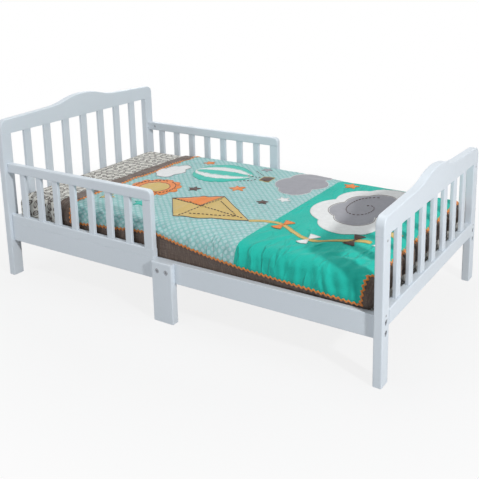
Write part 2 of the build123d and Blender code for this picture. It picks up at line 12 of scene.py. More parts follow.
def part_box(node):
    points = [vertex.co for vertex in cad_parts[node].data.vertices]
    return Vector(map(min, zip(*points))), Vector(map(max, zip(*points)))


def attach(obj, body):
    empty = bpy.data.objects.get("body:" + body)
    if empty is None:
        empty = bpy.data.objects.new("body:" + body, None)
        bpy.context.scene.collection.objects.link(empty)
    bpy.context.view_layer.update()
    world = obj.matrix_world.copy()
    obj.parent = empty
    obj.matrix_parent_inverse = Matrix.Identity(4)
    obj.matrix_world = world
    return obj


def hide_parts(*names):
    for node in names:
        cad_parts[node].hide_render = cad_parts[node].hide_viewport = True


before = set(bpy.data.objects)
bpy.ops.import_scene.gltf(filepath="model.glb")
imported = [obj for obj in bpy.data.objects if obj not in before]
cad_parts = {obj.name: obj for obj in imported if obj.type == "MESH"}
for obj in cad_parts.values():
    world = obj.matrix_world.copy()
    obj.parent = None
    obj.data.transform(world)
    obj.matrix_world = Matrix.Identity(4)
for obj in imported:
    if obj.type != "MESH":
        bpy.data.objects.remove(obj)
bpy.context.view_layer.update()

BEDDING_BODY = "mattress_body"
UP = Vector((0, 0, 1))
QUARTER = math.pi / 2

# Colours, as screen values from 0 to 255
PAINT = (219, 228, 236)
PINE, PINE_DARK = (221, 190, 143), (183, 142, 92)
BEECH, BEECH_DARK = (205, 165, 120), (170, 125, 82)
STEEL = (176, 180, 186)
TICKING, TICKING_LINE = (238, 238, 233), (176, 196, 205)
SHEET_GROUND, SHEET_MOTIF = (218, 216, 208), (84, 76, 70)
AQUA, AQUA_DOT = (149, 202, 200), (206, 224, 228)
TEAL, TEAL_DEEP = (34, 196, 178), (24, 170, 154)
LINEN, LINEN_DARK = (104, 88, 79), (72, 59, 53)
# Linen: a pale tone for slubs, also the painted highlight on the gathers' crests, and painted shade for the
# gaps between gathers
LINEN_PALE_AND_HIGHLIGHT, LINEN_GAP_SHADE = (138, 121, 109), (38, 31, 29)
TAPE, TAPE_SHADE = (255, 156, 48), (230, 128, 36)
FELTS = {"mustard": (214, 184, 104), "orange": (240, 134, 44), "brown": (72, 42, 30),
         "grey": (156, 156, 164), "white": (236, 238, 238), "teal": TEAL}
FLOOR_COLOURS = (196, 197, 199), (203, 204, 205)

# Pitches of the patterns and weaves, in metres
TICKING_STRIPE, TICKING_WEAVE = 0.024, 0.0016
LEAF_PITCH, SHEET_WEAVE = 0.031, 0.0012
COTTON_WEAVE, LINEN_WEAVE = 0.0013, 0.0024
DOT_PITCH, HATCH_PITCH, PLAIT_PITCH = 0.0156, 0.0052, 0.0022
RING_PITCH = 2 * math.pi / 70
SLANT = math.radians(45)
WRINKLE_SCALE, WRINKLE_TURN = (26, 9, 1), math.radians(14)

# Stretch of the wood's grain, small along it
GRAIN_ALONG, GRAIN_ACROSS, GRAIN_UPRIGHT = (1.6, 26, 26), (26, 1.6, 26), (30, 30, 3)


def srgb(colour):
    """A screen colour as linear light, with full alpha."""
    shares = [c / 255 for c in colour]
    return tuple(s / 12.92 if s <= 0.04045 else ((s + 0.055) / 1.055) ** 2.4 for s in shares) + (1.0,)


def shade(colour, share):
    """A screen colour made darker or lighter."""
    return [min(255, c * share) for c in colour]


def clamp(value, low, high):
    return min(max(value, low), high)


def smooth(low, high, value):
    """0 at low, 1 at high, with a soft start and end."""
    share = clamp((value - low) / (high - low), 0.0, 1.0)
    return share * share * (3 - 2 * share)


def bell(away):
    """1 at 0, falling softly to about nothing two units away."""
    return math.exp(-away * away)


def ripple(x, y, size, seed):
    """Smooth noise between about -1 and 1."""
    return noise.noise(Vector((x / size, y / size, seed)))


class Nodes:
    """A node tree with short calls for its nodes."""

    def __init__(self, tree):
        self.tree = tree

    def put(self, socket, value):
        if isinstance(value, bpy.types.NodeSocket):
            self.tree.links.new(value, socket)
        else:
            socket.default_value = value

    def add(self, kind, inputs, **settings):
        node = self.tree.nodes.new("ShaderNode" + kind)
        for key, value in settings.items():
            setattr(node, key, value)
        for key, value in inputs.items():
            self.put(node.inputs[key], value)
        return node

    def math(self, operation, a, b=0.0, clamped=False):
        return self.add("Math", {0: a, 1: b}, operation=operation, use_clamp=clamped).outputs[0]

    def seen(self):
        """1 where the camera looks, also by way of metal or glass, and 0 for light that falls on things."""
        path = self.add("LightPath", {}).outputs
        mirrored = self.math("ADD", path["Is Camera Ray"], path["Is Glossy Ray"])
        return self.math("ADD", mirrored, path["Is Transmission Ray"], True)

    def show(self, output, share, first, second):
        """Sends a mix of two shader nodes to the output."""
        mix = self.add("MixShader", {0: share, 1: first.outputs[0], 2: second.outputs[0]})
        self.put(self.tree.nodes[output].inputs["Surface"], mix.outputs[0])


class Paint(Nodes):
    """A material with short calls for its patterns."""

    def __init__(self, name, roughness=0.5, **sockets):
        self.material = bpy.data.materials.new(name)
        self.material.use_nodes = True
        super().__init__(self.material.node_tree)
        self.shader = self.tree.nodes["Principled BSDF"]
        self.normal = None
        self.set("Roughness", roughness)
        for key, value in sockets.items():
            self.set(key.replace("_", " "), value)

    def set(self, name, value):
        self.put(self.shader.inputs[name], value)

    def place(self, scale=(1, 1, 1), turn=0.0, source="Object"):
        where = self.add("TexCoord", {}).outputs[source]
        inputs = {"Vector": where, "Scale": scale, "Rotation": (0, 0, turn)}
        return self.add("Mapping", inputs).outputs["Vector"]

    def part(self, vector, axis):
        return self.add("SeparateXYZ", {"Vector": vector}).outputs[axis]

    def vector(self, operation, a, b=(0, 0, 0)):
        node = self.add("VectorMath", {0: a, 1: b}, operation=operation)
        return node.outputs["Value" if operation == "LENGTH" else "Vector"]

    def cell(self, grid):
        """Place within a cell of the unit grid, from its middle."""
        return self.vector("SUBTRACT", self.vector("FRACTION", grid), (0.5, 0.5, 0))

    def noise(self, where, scale, detail=2.0, roughness=0.5):
        inputs = {"Vector": where, "Scale": scale, "Detail": detail, "Roughness": roughness}
        return self.add("TexNoise", inputs).outputs["Fac"]

    def map(self, value, low, high, start=0.0, end=1.0):
        inputs = {"Value": value, "From Min": low, "From Max": high, "To Min": start, "To Max": end}
        return self.add("MapRange", inputs).outputs["Result"]

    def mottle(self, where, scale, detail=2.0, low=0.3, high=0.7, start=0.0, end=1.0):
        """Noise spread from start to end."""
        return self.map(self.noise(where, scale, detail), low, high, start, end)

    def band(self, value, middle, half, edge):
        """1 as far as half from the middle, 0 beyond the edge."""
        return self.map(self.math("ABSOLUTE", self.math("SUBTRACT", value, middle)), half, edge, 1.0, 0.0)

    def wave(self, value, pitch):
        return self.math("SINE", self.math("MULTIPLY", value, 2 * math.pi / pitch))

    def swell(self, wave, end=1.0):
        """A wave between -1 and 1 as a share from 0 to the end."""
        return self.map(wave, -1, 1, 0.0, end)

    def blend(self, share, a, b):
        """Mixes two colours, each a screen colour or what another node gives."""
        a, b = (c if isinstance(c, bpy.types.NodeSocket) else srgb(c) for c in (a, b))
        return self.add("Mix", {0: share, 6: a, 7: b}, data_type="RGBA").outputs[2]

    def tint(self, share, a, b):
        """Colours the surface with a mix of two colours."""
        self.set("Base Color", self.blend(share, a, b))

    def bump(self, height, distance, strength=1.0):
        inputs = {"Height": height, "Distance": distance, "Strength": strength}
        if self.normal:
            inputs["Normal"] = self.normal
        self.normal = self.add("Bump", inputs).outputs["Normal"]
        self.set("Normal", self.normal)

    def weave(self, where, pitch, distance):
        """Crossed threads as a bump, and their height for tinting."""
        across, along = (self.wave(self.part(where, axis), pitch) for axis in "XY")
        height = self.math("MULTIPLY", across, along)
        self.bump(height, distance)
        return height


def painted_wood():
    """White lacquer: slight changes of tone, a few specks and faint level brush marks."""
    p = Paint("white_painted_wood", Specular_IOR_Level=0.45)
    where = p.place()
    tone = p.blend(p.mottle(where, 4.0, 3.0), shade(PAINT, 0.985), PAINT)
    p.tint(p.mottle(where, 260.0, 1.0, 0.70, 0.78), tone, shade(PAINT, 0.965))
    p.set("Roughness", p.mottle(where, 60.0, 3.0, start=0.30, end=0.42))
    p.bump(p.noise(where, 700.0), 0.00006)
    p.bump(p.noise(p.place((9, 9, 60)), 12.0), 0.00015, 0.6)
    return p.material


def bare_wood(name, light, dark, stretch):
    """Wood with its grain along the axis whose stretch is small."""
    p = Paint(name, 0.6, Specular_IOR_Level=0.35)
    where = p.place(stretch)
    rings = p.wave(p.noise(where, 1.1, 3.0), RING_PITCH)
    fibre = p.noise(where, 9.0, 6.0, 0.7)
    share = p.math("ADD", p.swell(rings, 0.45), p.map(fibre, 0.3, 0.75, 0.0, 0.5), True)
    p.tint(share, light, dark)
    p.set("Roughness", p.map(fibre, 0.2, 0.8, 0.5, 0.72))
    p.bump(fibre, 0.0002)
    return p.material


def zinc_steel():
    p = Paint("zinc_plated_steel", 0.35, Metallic=1.0)
    where = p.place()
    p.tint(p.mottle(where, 140.0, 4.0), shade(STEEL, 0.8), STEEL)
    p.set("Roughness", p.mottle(where, 420.0, start=0.26, end=0.45))
    p.bump(p.noise(where, 900.0), 0.00004)
    return p.material


def ticking():
    """Mattress cover: white cotton with thin blue stripes along it."""
    p = Paint("mattress_ticking", 0.85, Sheen_Weight=0.25)
    where = p.place()
    lane = p.math("FRACT", p.math("MULTIPLY", p.part(where, "Y"), 1 / TICKING_STRIPE))
    ground = p.blend(p.mottle(where, 18.0, 3.0), shade(TICKING, 0.95), TICKING)
    p.tint(p.band(lane, 0.5, 0.06, 0.09), ground, TICKING_LINE)
    p.weave(where, TICKING_WEAVE, 0.00012)
    p.bump(p.noise(where, 45.0), 0.0015)
    return p.material


def sheet_print():
    """Fitted sheet: scattered leaf outlines in dark warm grey on off-white."""
    p = Paint("sheet_print_cotton", 0.85, Sheen_Weight=0.2)
    where = p.place(source="UV")
    grid = p.vector("MULTIPLY", where, (1 / LEAF_PITCH, 1 / LEAF_PITCH, 0))
    chance = p.add("TexWhiteNoise", {"Vector": p.vector("FLOOR", grid)}).outputs["Value"]
    inputs = {"Vector": p.cell(grid), "Angle": p.math("MULTIPLY", chance, 2 * math.pi)}
    leaf = p.add("VectorRotate", inputs, rotation_type="Z_AXIS").outputs["Vector"]
    size = p.vector("LENGTH", p.vector("MULTIPLY", leaf, (1.0, 1.9, 0)))
    outline = p.band(size, 0.41, 0.07, 0.12)
    within = p.map(size, 0.40, 0.46, 1.0, 0.0)
    vein = p.math("MULTIPLY", p.band(p.part(leaf, "Y"), 0.0, 0.02, 0.06), within)
    blots = p.mottle(where, 70.0, 1.0, 0.58, 0.64, end=0.8)
    p.tint(p.math("MAXIMUM", p.math("MAXIMUM", outline, vein), blots), SHEET_GROUND, SHEET_MOTIF)
    p.weave(where, SHEET_WEAVE, 0.0001)
    p.bump(p.noise(where, 30.0, 3.0), 0.002, 0.6)
    return p.material


def cotton(name, sheen=0.12, weave=COTTON_WEAVE, wrinkle=0.0022):
    """Cotton to be coloured: fine weave, soft puckers and scattered narrow wrinkles."""
    p = Paint(name, 0.82, Sheen_Weight=sheen, Specular_IOR_Level=0.25)
    p.where = p.place(source="UV")
    p.threads = p.weave(p.where, weave, 0.00012)
    p.bump(p.noise(p.where, 38.0, 3.0), 0.0016, 0.7)
    course = p.noise(p.place(WRINKLE_SCALE, WRINKLE_TURN, "UV"), 1.0, 2.0, 0.45)
    here = p.mottle(p.where, 7.0, 1.0, 0.42, 0.62)
    p.bump(p.math("MULTIPLY", p.band(course, 0.5, 0.0, 0.07), here), wrinkle)
    return p


def dotted_aqua():
    """Quilt field: a slanting lattice of pale dots and fine slanting hatch."""
    p = cotton("quilt_dotted_aqua")
    lattice = p.place((1 / DOT_PITCH, 1 / DOT_PITCH, 0), SLANT, "UV")
    dot = p.map(p.vector("LENGTH", p.cell(lattice)), 0.30, 0.40, 1.0, 0.0)
    hatch = p.wave(p.part(p.place(turn=SLANT, source="UV"), "X"), HATCH_PITCH)
    ground = p.blend(p.swell(hatch, 0.28), AQUA, shade(AQUA, 0.9))
    dotted = p.blend(p.math("MULTIPLY", dot, 0.58), ground, AQUA_DOT)
    p.tint(p.mottle(p.where, 14.0, 3.0, end=0.12), dotted, shade(AQUA, 0.85))
    p.bump(dot, 0.0003, 0.5)
    return p.material


def plain_teal():
    """Quilt block: one colour, unevenly dyed."""
    p = cotton("quilt_plain_teal", 0.08, wrinkle=0.0034)
    base = p.blend(p.mottle(p.where, 9.0, 4.0, end=0.4), TEAL, TEAL_DEEP)
    p.tint(p.swell(p.threads, 0.12), base, TEAL_DEEP)
    return p.material


def border_linen():
    """Brown border: uneven linen, with painted shade in the gaps of the gathers and a painted highlight on
    their crests.
    """
    p = cotton("quilt_border_linen", 0.2, LINEN_WEAVE)
    across = p.noise(p.place((520, 26, 1), source="UV"), 1.0)
    along = p.noise(p.place((26, 520, 1), source="UV"), 1.0)
    light = p.blend(p.map(across, 0.48, 0.68), LINEN, LINEN_PALE_AND_HIGHLIGHT)
    dark = p.blend(p.map(along, 0.50, 0.70, 0.0, 0.85), light, LINEN_DARK)
    cloth = p.blend(p.swell(p.threads, 0.25), dark, LINEN_DARK)
    p.bump(p.math("ADD", across, along), 0.0004)
    # Share of painted shade in the gathers' gaps, below 0 for the painted highlight on their crests
    depth = p.add("Attribute", {}, attribute_name="gather").outputs["Fac"]
    crest_highlight = p.blend(p.map(depth, 0.0, -1.0, 0.0, 0.6), cloth, LINEN_PALE_AND_HIGHLIGHT)
    p.tint(p.map(depth, 0.0, 1.0), crest_highlight, LINEN_GAP_SHADE)
    return p.material


def quilt_backing():
    p = cotton("quilt_backing", 0.2)
    p.tint(p.swell(p.threads, 0.15), AQUA_DOT, AQUA)
    return p.material


def braid():
    """Orange ric-rac: slanting plaited threads."""
    p = Paint("ric_rac_braid", 0.7, Sheen_Weight=0.3)
    where = p.place(source="UV")
    slope = p.math("ADD", p.part(where, "X"), p.math("ABSOLUTE", p.part(where, "Y")))
    plait = p.wave(slope, PLAIT_PITCH)
    p.tint(p.swell(plait), TAPE_SHADE, TAPE)
    p.bump(plait, 0.0004)
    return p.material


def felt(name, colour):
    """Applique cloth: short fibres and a soft nap."""
    p = Paint(name, 0.9, Sheen_Weight=0.35, Specular_IOR_Level=0.2)
    nap = p.noise(p.place(), 60.0, 5.0, 0.7)
    fibre = p.noise(p.place((900, 300, 300)), 1.0)
    tone = p.blend(p.map(nap, 0.3, 0.7, 0.0, 0.5), colour, shade(colour, 0.86))
    p.tint(p.map(fibre, 0.45, 0.7, 0.0, 0.35), tone, shade(colour, 1.08))
    p.bump(fibre, 0.0003)
    p.bump(nap, 0.0007, 0.6)
    return p.material


def thread(name, colour):
    """Sewing thread: a twist of light and shade along the stitch."""
    p = Paint(name, 0.6, Sheen_Weight=0.3)
    twist = p.noise(p.place(), 1100.0, 1.0)
    p.tint(p.map(twist, 0.35, 0.65), shade(colour, 0.75), colour)
    p.bump(twist, 0.0003)
    return p.material


def new_piece(name, verts, faces, materials, slots=None, uvs=None):
    """A smooth mesh object with its materials, face slots and flat cloth coordinates."""
    mesh = bpy.data.meshes.new(name)
    mesh.from_pydata([tuple(v) for v in verts], [], faces)
    for material in materials:
        mesh.materials.append(material)
    if slots:
        mesh.polygons.foreach_set("material_index", slots)
    if uvs:
        layer = mesh.uv_layers.new(name="UVMap")
        loops = np.empty(len(mesh.loops), dtype=np.int64)
        mesh.loops.foreach_get("vertex_index", loops)
        layer.data.foreach_set("uv", np.array(uvs, dtype=np.float32)[loops].ravel())
    mesh.polygons.foreach_set("use_smooth", [True] * len(mesh.polygons))
    mesh.validate()
    mesh.update()
    piece = bpy.data.objects.new(name, mesh)
    bpy.context.scene.collection.objects.link(piece)
    return piece


def bed_piece(piece, slot, *nodes):
    """Ties a bedding piece to the mattress and hides the solids that it stands for; slot is not used."""
    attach(piece, BEDDING_BODY)
    if nodes:
        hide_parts(*nodes)
    return piece


def lines(stops, step):
    """Grid lines through every stop, about one step apart."""
    out = [stops[0]]
    for low, high in zip(stops, stops[1:]):
        count = max(1, round((high - low) / step))
        out.extend(low + (high - low) * k / count for k in range(1, count))
        out.append(high)
    return out


def resample(points, step, closed=False):
    """Points an equal step apart along a line."""
    chain = list(points) + ([points[0]] if closed else [])
    reach = np.concatenate([[0.0], np.cumsum([(b - a).length for a, b in zip(chain, chain[1:])])])
    count = max(2, round(reach[-1] / step))
    marks = np.linspace(0.0, reach[-1], count + 1)
    table = np.array([tuple(p) for p in chain])
    columns = [np.interp(marks, reach, table[:, axis]) for axis in range(table.shape[1])]
    out = [Vector(row) for row in zip(*columns)]
    return out[:-1] if closed else out


def tube(points, radius, closed, sides=5):
    """Vertices and faces of a thin thread along points."""
    verts, faces = [], []
    count = len(points)
    for n, spot in enumerate(points):
        before = points[n - 1] if closed or n else spot
        after = points[(n + 1) % count] if closed or n + 1 < count else spot
        ahead = (after - before).normalized()
        right = ahead.cross(UP).normalized()
        above = right.cross(ahead)
        for k in range(sides):
            t = 2 * math.pi * k / sides
            verts.append(spot + (right * math.cos(t) + above * math.sin(t)) * radius)
    for n in range(count if closed else count - 1):
        m = (n + 1) % count
        for k in range(sides):
            j = (k + 1) % sides
            faces.append((sides * n + k, sides * n + j, sides * m + j, sides * m + k))
    if not closed:
        faces.append(tuple(range(sides))[::-1])
        faces.append(tuple(range(sides * (count - 1), sides * count)))
    return verts, faces


class Heap:
    """Vertices and faces of many small shapes gathered into one mesh."""

    def __init__(self):
        self.verts, self.faces = [], []

    def take(self, verts, faces):
        start = len(self.verts)
        self.verts.extend(verts)
        self.faces.extend(tuple(start + k for k in face) for face in faces)


# Rounded top edge of the bedding, a quarter of an ellipse, in metres
SHOULDER_OUT, SHOULDER_DROP = 0.032, 0.028
EDGE_LENGTH = QUARTER * math.sqrt((SHOULDER_OUT ** 2 + SHOULDER_DROP ** 2) / 2)
CORNER_STEPS = 8


def shoulder(length):
    """How far out and down the cloth is, and its slope, after some length over the rounded edge."""
    angle = min(length / EDGE_LENGTH, 1.0) * QUARTER
    drop = SHOULDER_DROP * (1 - math.cos(angle)) + max(0.0, length - EDGE_LENGTH)
    return SHOULDER_OUT * math.sin(angle), drop, angle


def length_to(drop):
    """The length over the rounded edge at which the cloth has dropped so far."""
    if drop < SHOULDER_DROP:
        return math.acos(1 - drop / SHOULDER_DROP) / QUARTER * EDGE_LENGTH
    return EDGE_LENGTH + drop - SHOULDER_DROP


# A place on the panel's edge where the rim starts, with its outward angle in degrees
Station = namedtuple("Station", "side column line angle")


class Cover:
    """Cloth over a mattress: a top panel on grid lines and a rim that turns down round its sides."""

    def __init__(self, xs, ys, sides):
        self.xs, self.ys = xs, ys
        self.verts, self.normals, self.uvs, self.rows = [], [], [], []
        self.faces, self.tags, self.rim = [], [], []
        self.panel = [[self.vertex(Vector((x, y, 0)), UP, (x, y)) for y in ys] for x in xs]
        self.closed = len(sides) == 4
        self.stations = self.walk(sides)

    def vertex(self, place, normal, uv, row=0):
        self.verts.append(place)
        self.normals.append(normal)
        self.uvs.append(uv)
        self.rows.append(row)
        return len(self.verts) - 1

    def walk(self, sides):
        """Stations round the panel, with those of each corner after its side."""
        last_x, last_y = len(self.xs) - 1, len(self.ys) - 1
        runs = {
            "front": ([(i, 0) for i in range(last_x + 1)], -90),
            "foot": ([(last_x, j) for j in range(last_y + 1)], 0),
            "back": ([(i, last_y) for i in range(last_x, -1, -1)], 90),
            "head": ([(0, j) for j in range(last_y, -1, -1)], 180),
        }
        out = []
        for side in sides:
            cells, angle = runs[side]
            out.extend(Station(side, i, j, angle) for i, j in cells)
            if self.closed or side != sides[-1]:
                turns = [angle + 90 / CORNER_STEPS * k for k in range(1, CORNER_STEPS)]
                out.extend(Station(side + "_corner", *cells[-1], turn) for turn in turns)
        return out

    def fill_grid(self, grid, slot=lambda i: 0, upward=True):
        for i, (a, b) in enumerate(zip(grid, grid[1:])):
            for j in range(len(a) - 1):
                first, *others = a[j], b[j], b[j + 1], a[j + 1]
                self.faces.append((first, *(others if upward else others[::-1])))
                self.tags.append(slot(i))

    def add_rim(self, lengths, profile=shoulder):
        """Adds one column of rim vertices to each station, at the lengths that the station gives."""
        for station in self.stations:
            base = Vector((self.xs[station.column], self.ys[station.line], 0))
            angle = math.radians(station.angle)
            way = Vector((math.cos(angle), math.sin(angle), 0))
            column = [self.panel[station.column][station.line]]
            for row, length in enumerate(lengths(station)[1:], 1):
                out, drop, slope = profile(length)
                normal = way * math.sin(slope) + UP * math.cos(slope)
                flat = base + way * length
                column.append(self.vertex(base + way * out - UP * drop, normal, (flat.x, flat.y), row))
            self.rim.append(column)

    def fill_rim(self, slot=lambda k, row: 0):
        count = len(self.rim)
        for k in range(count if self.closed else count - 1):
            a, b = self.rim[k], self.rim[(k + 1) % count]
            for row in range(len(a) - 1):
                corners = [a[row], a[row + 1], b[row + 1], b[row]]
                face = [v for n, v in enumerate(corners) if v not in corners[:n]]
                if len(face) > 2:
                    self.faces.append(tuple(face))
                    self.tags.append(slot(k, row))


def even_rows(total, rows):
    """The same rim lengths for every station, evenly spaced."""
    return lambda station: [total * k / rows for k in range(rows + 1)]


def box_cover(low, high, step, lengths, profile=shoulder):
    """A cover of one cloth whose rim goes all round a box."""
    xs = lines([low.x + SHOULDER_OUT, high.x - SHOULDER_OUT], step)
    ys = lines([low.y + SHOULDER_OUT, high.y - SHOULDER_OUT], step)
    cover = Cover(xs, ys, ("front", "foot", "back", "head"))
    cover.fill_grid(cover.panel)
    cover.add_rim(lengths, profile)
    cover.fill_rim()
    return cover


# Form of the made bed under the quilt, in metres
SHEET_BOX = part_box("fitted_sheet")
SHEET_CROWN, SHEET_EASE = 0.006, 0.0005
SHEET_EDGE = SHEET_BOX[1].z - SHEET_CROWN - SHEET_EASE
FOOT_SAG, SAG_REACH = 0.012, (-0.15, 0.60)


def sheet_top(x, y):
    """Height of the made bed under the quilt, crowned in the middle and lower towards the foot."""
    share_x, share_y = x / SHEET_BOX[1].x, y / SHEET_BOX[1].y
    crown = SHEET_CROWN * max(0.0, 1 - share_x ** 4) * max(0.0, 1 - share_y ** 4)
    return SHEET_EDGE + crown - FOOT_SAG * smooth(*SAG_REACH, x)


def rest_on_top(cover, lift):
    """Raises every point of the cover to the bed's top, kept level past the panel's edge."""
    for place in cover.verts:
        x = clamp(place.x, cover.xs[0], cover.xs[-1])
        y = clamp(place.y, cover.ys[0], cover.ys[-1])
        place.z += sheet_top(x, y) + lift


# Fitted sheet, in metres
SHEET_STEP, SHEET_ROWS, SHEET_HEM_RISE = 0.02, 14, 0.008
DRAG_REACH, DRAG_PITCH, DRAG_UPRIGHT, DRAG_SEED = (0.20, 0.02), 0.022, 0.4, 3.1
DRAG_HEIGHT, DRAG_CORNER_HEIGHT = 0.0008, 0.0016
TOP_RIPPLE, TOP_RIPPLE_PITCH, TOP_RIPPLE_SEED = 0.0008, 0.09, 7.7
CORNER_BULGE, BULGE_REACH = 0.009, (0.16, 0.03)


def make_sheet(material):
    """Fitted sheet: smooth top, drag lines near the corners, and fuller corners at the head."""
    low, high = SHEET_BOX
    depth = high.z - low.z - SHEET_HEM_RISE
    cover = box_cover(low, high, SHEET_STEP, even_rows(length_to(depth), SHEET_ROWS))
    rest_on_top(cover, 0.0)
    for place, normal in zip(cover.verts, cover.normals):
        across = high.y - abs(place.y)
        corner = smooth(*DRAG_REACH, math.hypot(high.x - abs(place.x), across))
        drag = ripple(place.x + place.y, place.z * DRAG_UPRIGHT, DRAG_PITCH, DRAG_SEED)
        drag *= DRAG_HEIGHT + DRAG_CORNER_HEIGHT * corner
        full = CORNER_BULGE * smooth(*BULGE_REACH, math.hypot(place.x - low.x, across))
        top = TOP_RIPPLE * ripple(place.x, place.y, TOP_RIPPLE_PITCH, TOP_RIPPLE_SEED)
        place += normal * ((drag + full) * (1 - normal.z) + top * normal.z)
    return new_piece("fitted_sheet_cover", cover.verts, cover.faces, [material], cover.tags, cover.uvs)


# Mattress, in metres, with its side in shares of the way from the top panel to the bottom one
MATTRESS_STEP, MATTRESS_ROWS, MATTRESS_DIP, MATTRESS_FOOT_ROUND = 0.03, 24, 0.003, 0.028
MATTRESS_OUT, WALL_PULL = SHOULDER_OUT - 0.002, 0.002
ROUND_END, WALL_END, FOOT_ROUND_END = 0.35, 0.65, 0.90
TUFT, TUFT_PITCH, TUFT_SEED, CROWN_FADE = 0.0012, 0.16, 2.0, 0.07
MERGE_DISTANCE = 0.0001
PIPING_DROPS, PIPING_RADIUS, PIPING_STEP, PIPING_SIDES = (0.020, 0.092), 0.0042, 0.02, 8
UNDERSIDE_ROWS = 6


def mattress_profile(depth):
    """Gives the mattress's side for a share of its way from the top panel to the bottom one."""
    straight = depth - SHOULDER_DROP - MATTRESS_FOOT_ROUND

    def profile(share):
        if share <= ROUND_END:
            angle = share / ROUND_END * QUARTER
            return MATTRESS_OUT * math.sin(angle), SHOULDER_DROP * (1 - math.cos(angle)), angle
        if share <= WALL_END:
            along = (share - ROUND_END) / (WALL_END - ROUND_END)
            pull = WALL_PULL * math.sin(math.pi * along)
            return MATTRESS_OUT - pull, SHOULDER_DROP + straight * along, QUARTER
        angle = min((share - WALL_END) / (FOOT_ROUND_END - WALL_END), 1.0) * QUARTER
        inward = max(0.0, (share - FOOT_ROUND_END) / (1 - FOOT_ROUND_END))
        out = MATTRESS_OUT - MATTRESS_FOOT_ROUND * (1 - math.cos(angle))
        drop = SHOULDER_DROP + straight + MATTRESS_FOOT_ROUND * math.sin(angle)
        return out * (1 - inward), drop, QUARTER + angle
    return profile


def close_underside(cover, height):
    """Fills the flat underside between the rim's last points."""
    ends = {(s.column, s.line): column[-1] for s, column in zip(cover.stations, cover.rim)}
    grid = [[ends.get((i, j)) for j in range(len(cover.ys))] for i in range(len(cover.xs))]
    for i, x in enumerate(cover.xs):
        for j, y in enumerate(cover.ys):
            if grid[i][j] is None:
                grid[i][j] = cover.vertex(Vector((x, y, height)), -UP, (x, y))
    cover.fill_grid(grid, upward=False)


def make_mattress(material):
    """Mattress: crowned top, sides that pull in between piped seams, and a flat underside."""
    low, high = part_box("mattress")
    top = SHEET_EDGE - MATTRESS_DIP
    rows = even_rows(1.0, MATTRESS_ROWS)
    cover = box_cover(low, high, MATTRESS_STEP, rows, mattress_profile(top - low.z))
    for place in cover.verts:
        crown = sheet_top(place.x, place.y) - SHEET_EDGE
        tuft = TUFT * ripple(place.x, place.y, TUFT_PITCH, TUFT_SEED)
        place.z += top + (crown + tuft) * max(0.0, 1 + place.z / CROWN_FADE)
    close_underside(cover, low.z)
    piece = new_piece("mattress_core", cover.verts, cover.faces, [material], cover.tags, cover.uvs)
    merge_corners(piece)
    return piece, make_piping(cover, top, material)


def merge_corners(piece):
    """Joins the corner fans' coinciding points."""
    bm = bmesh.new()
    bm.from_mesh(piece.data)
    bmesh.ops.remove_doubles(bm, verts=bm.verts, dist=MERGE_DISTANCE)
    bmesh.ops.recalc_face_normals(bm, faces=bm.faces)
    bm.to_mesh(piece.data)
    bm.free()


def make_piping(cover, top, material):
    """Corded seams round the mattress's upper and lower edges."""
    heap = Heap()
    for drop in PIPING_DROPS:
        line = []
        for column in cover.rim:
            spots = [cover.verts[n] for n in column[1:-UNDERSIDE_ROWS]]
            line.append(min(spots, key=lambda v: abs(top - v.z - drop)).copy())
        heap.take(*tube(resample(line, PIPING_STEP, True), PIPING_RADIUS, True, PIPING_SIDES))
    return new_piece("mattress_piping", heap.verts, heap.faces, [material])


# Quilt, in metres, with its material slots
QUILT_FLAT, QUILT_THICKNESS, QUILT_LIFT, QUILT_EASE = (0.93, 1.28), 0.004, 0.0125, 0.007
HEAD_BORDER_X, SEAM_X, GRID_STEP = -0.397, 0.240, 0.0085
FIELD, BLOCK, BORDER = range(3)

# Ric-rac line along the front of the quilt: place along the bed, height
FRONT_LINE = ((-0.50, 0.226), (-0.40, 0.230), (-0.265, 0.243), (-0.106, 0.258), (-0.048, 0.261),
              (0.056, 0.249), (0.150, 0.234), (0.250, 0.223), (0.439, 0.211), (0.613, 0.201))
FRONT_CORNER_LEVEL, BACK_LEVEL, FOOT_LEVEL = FRONT_LINE[-1][1], 0.226, 0.252
HEM_RISE, FOOT_HEM, FOOT_HEM_WAVE, HEM_PITCH, HEM_SEED = 0.002, 0.222, 0.010, 0.05, 5.5
FOOT_LINE_DROP = 0.005

# Rows of the rim, and where the border turns from the foot into the sides
SHOULDER_ROWS, DRAPE_ROWS, BORDER_ROWS = 4, 11, 6
LINE_ROW = SHOULDER_ROWS + DRAPE_ROWS
TURN_COLUMNS, MITRE = 0.9, 45


def front_line(x):
    """Height of the ric-rac on the front drape."""
    return float(np.interp(x, *zip(*FRONT_LINE)))


def quilt_levels(cover, station, hem):
    """Heights of the side line and of the hem at a station."""
    foot_hem = FOOT_HEM + FOOT_HEM_WAVE * ripple(cover.ys[station.line], 0.0, HEM_PITCH, HEM_SEED)
    if station.side == "foot":
        return FOOT_LEVEL, foot_hem
    if station.side == "front":
        return front_line(cover.xs[station.column]), hem
    if station.side == "back":
        return BACK_LEVEL, hem
    share = abs(station.angle) / 90
    side_level = FRONT_CORNER_LEVEL if station.side == "front_corner" else BACK_LEVEL
    return side_level * share + FOOT_LEVEL * (1 - share), hem * share + foot_hem * (1 - share)


def quilt_rows(cover, hem):
    """Gives each station its rim lengths, with one row on the foot line and one on the side line."""
    def rows(station):
        top = sheet_top(cover.xs[station.column], cover.ys[station.line]) + QUILT_LIFT
        level, low = quilt_levels(cover, station, hem)
        marks = [0.0] + [length_to(drop) for drop in (FOOT_LINE_DROP, top - level, top - low)]
        out = [0.0]
        for start, end, count in zip(marks, marks[1:], (SHOULDER_ROWS, DRAPE_ROWS, BORDER_ROWS)):
            out.extend(start + (end - start) * (k + 1) / count for k in range(count))
        return out
    return rows


def turn_column(cover, row):
    """Column of the front at which the foot's border starts, further from the foot the lower the row."""
    share = clamp((row - SHOULDER_ROWS) / DRAPE_ROWS, 0.0, 1.0)
    return len(cover.xs) - 1 - TURN_COLUMNS * share


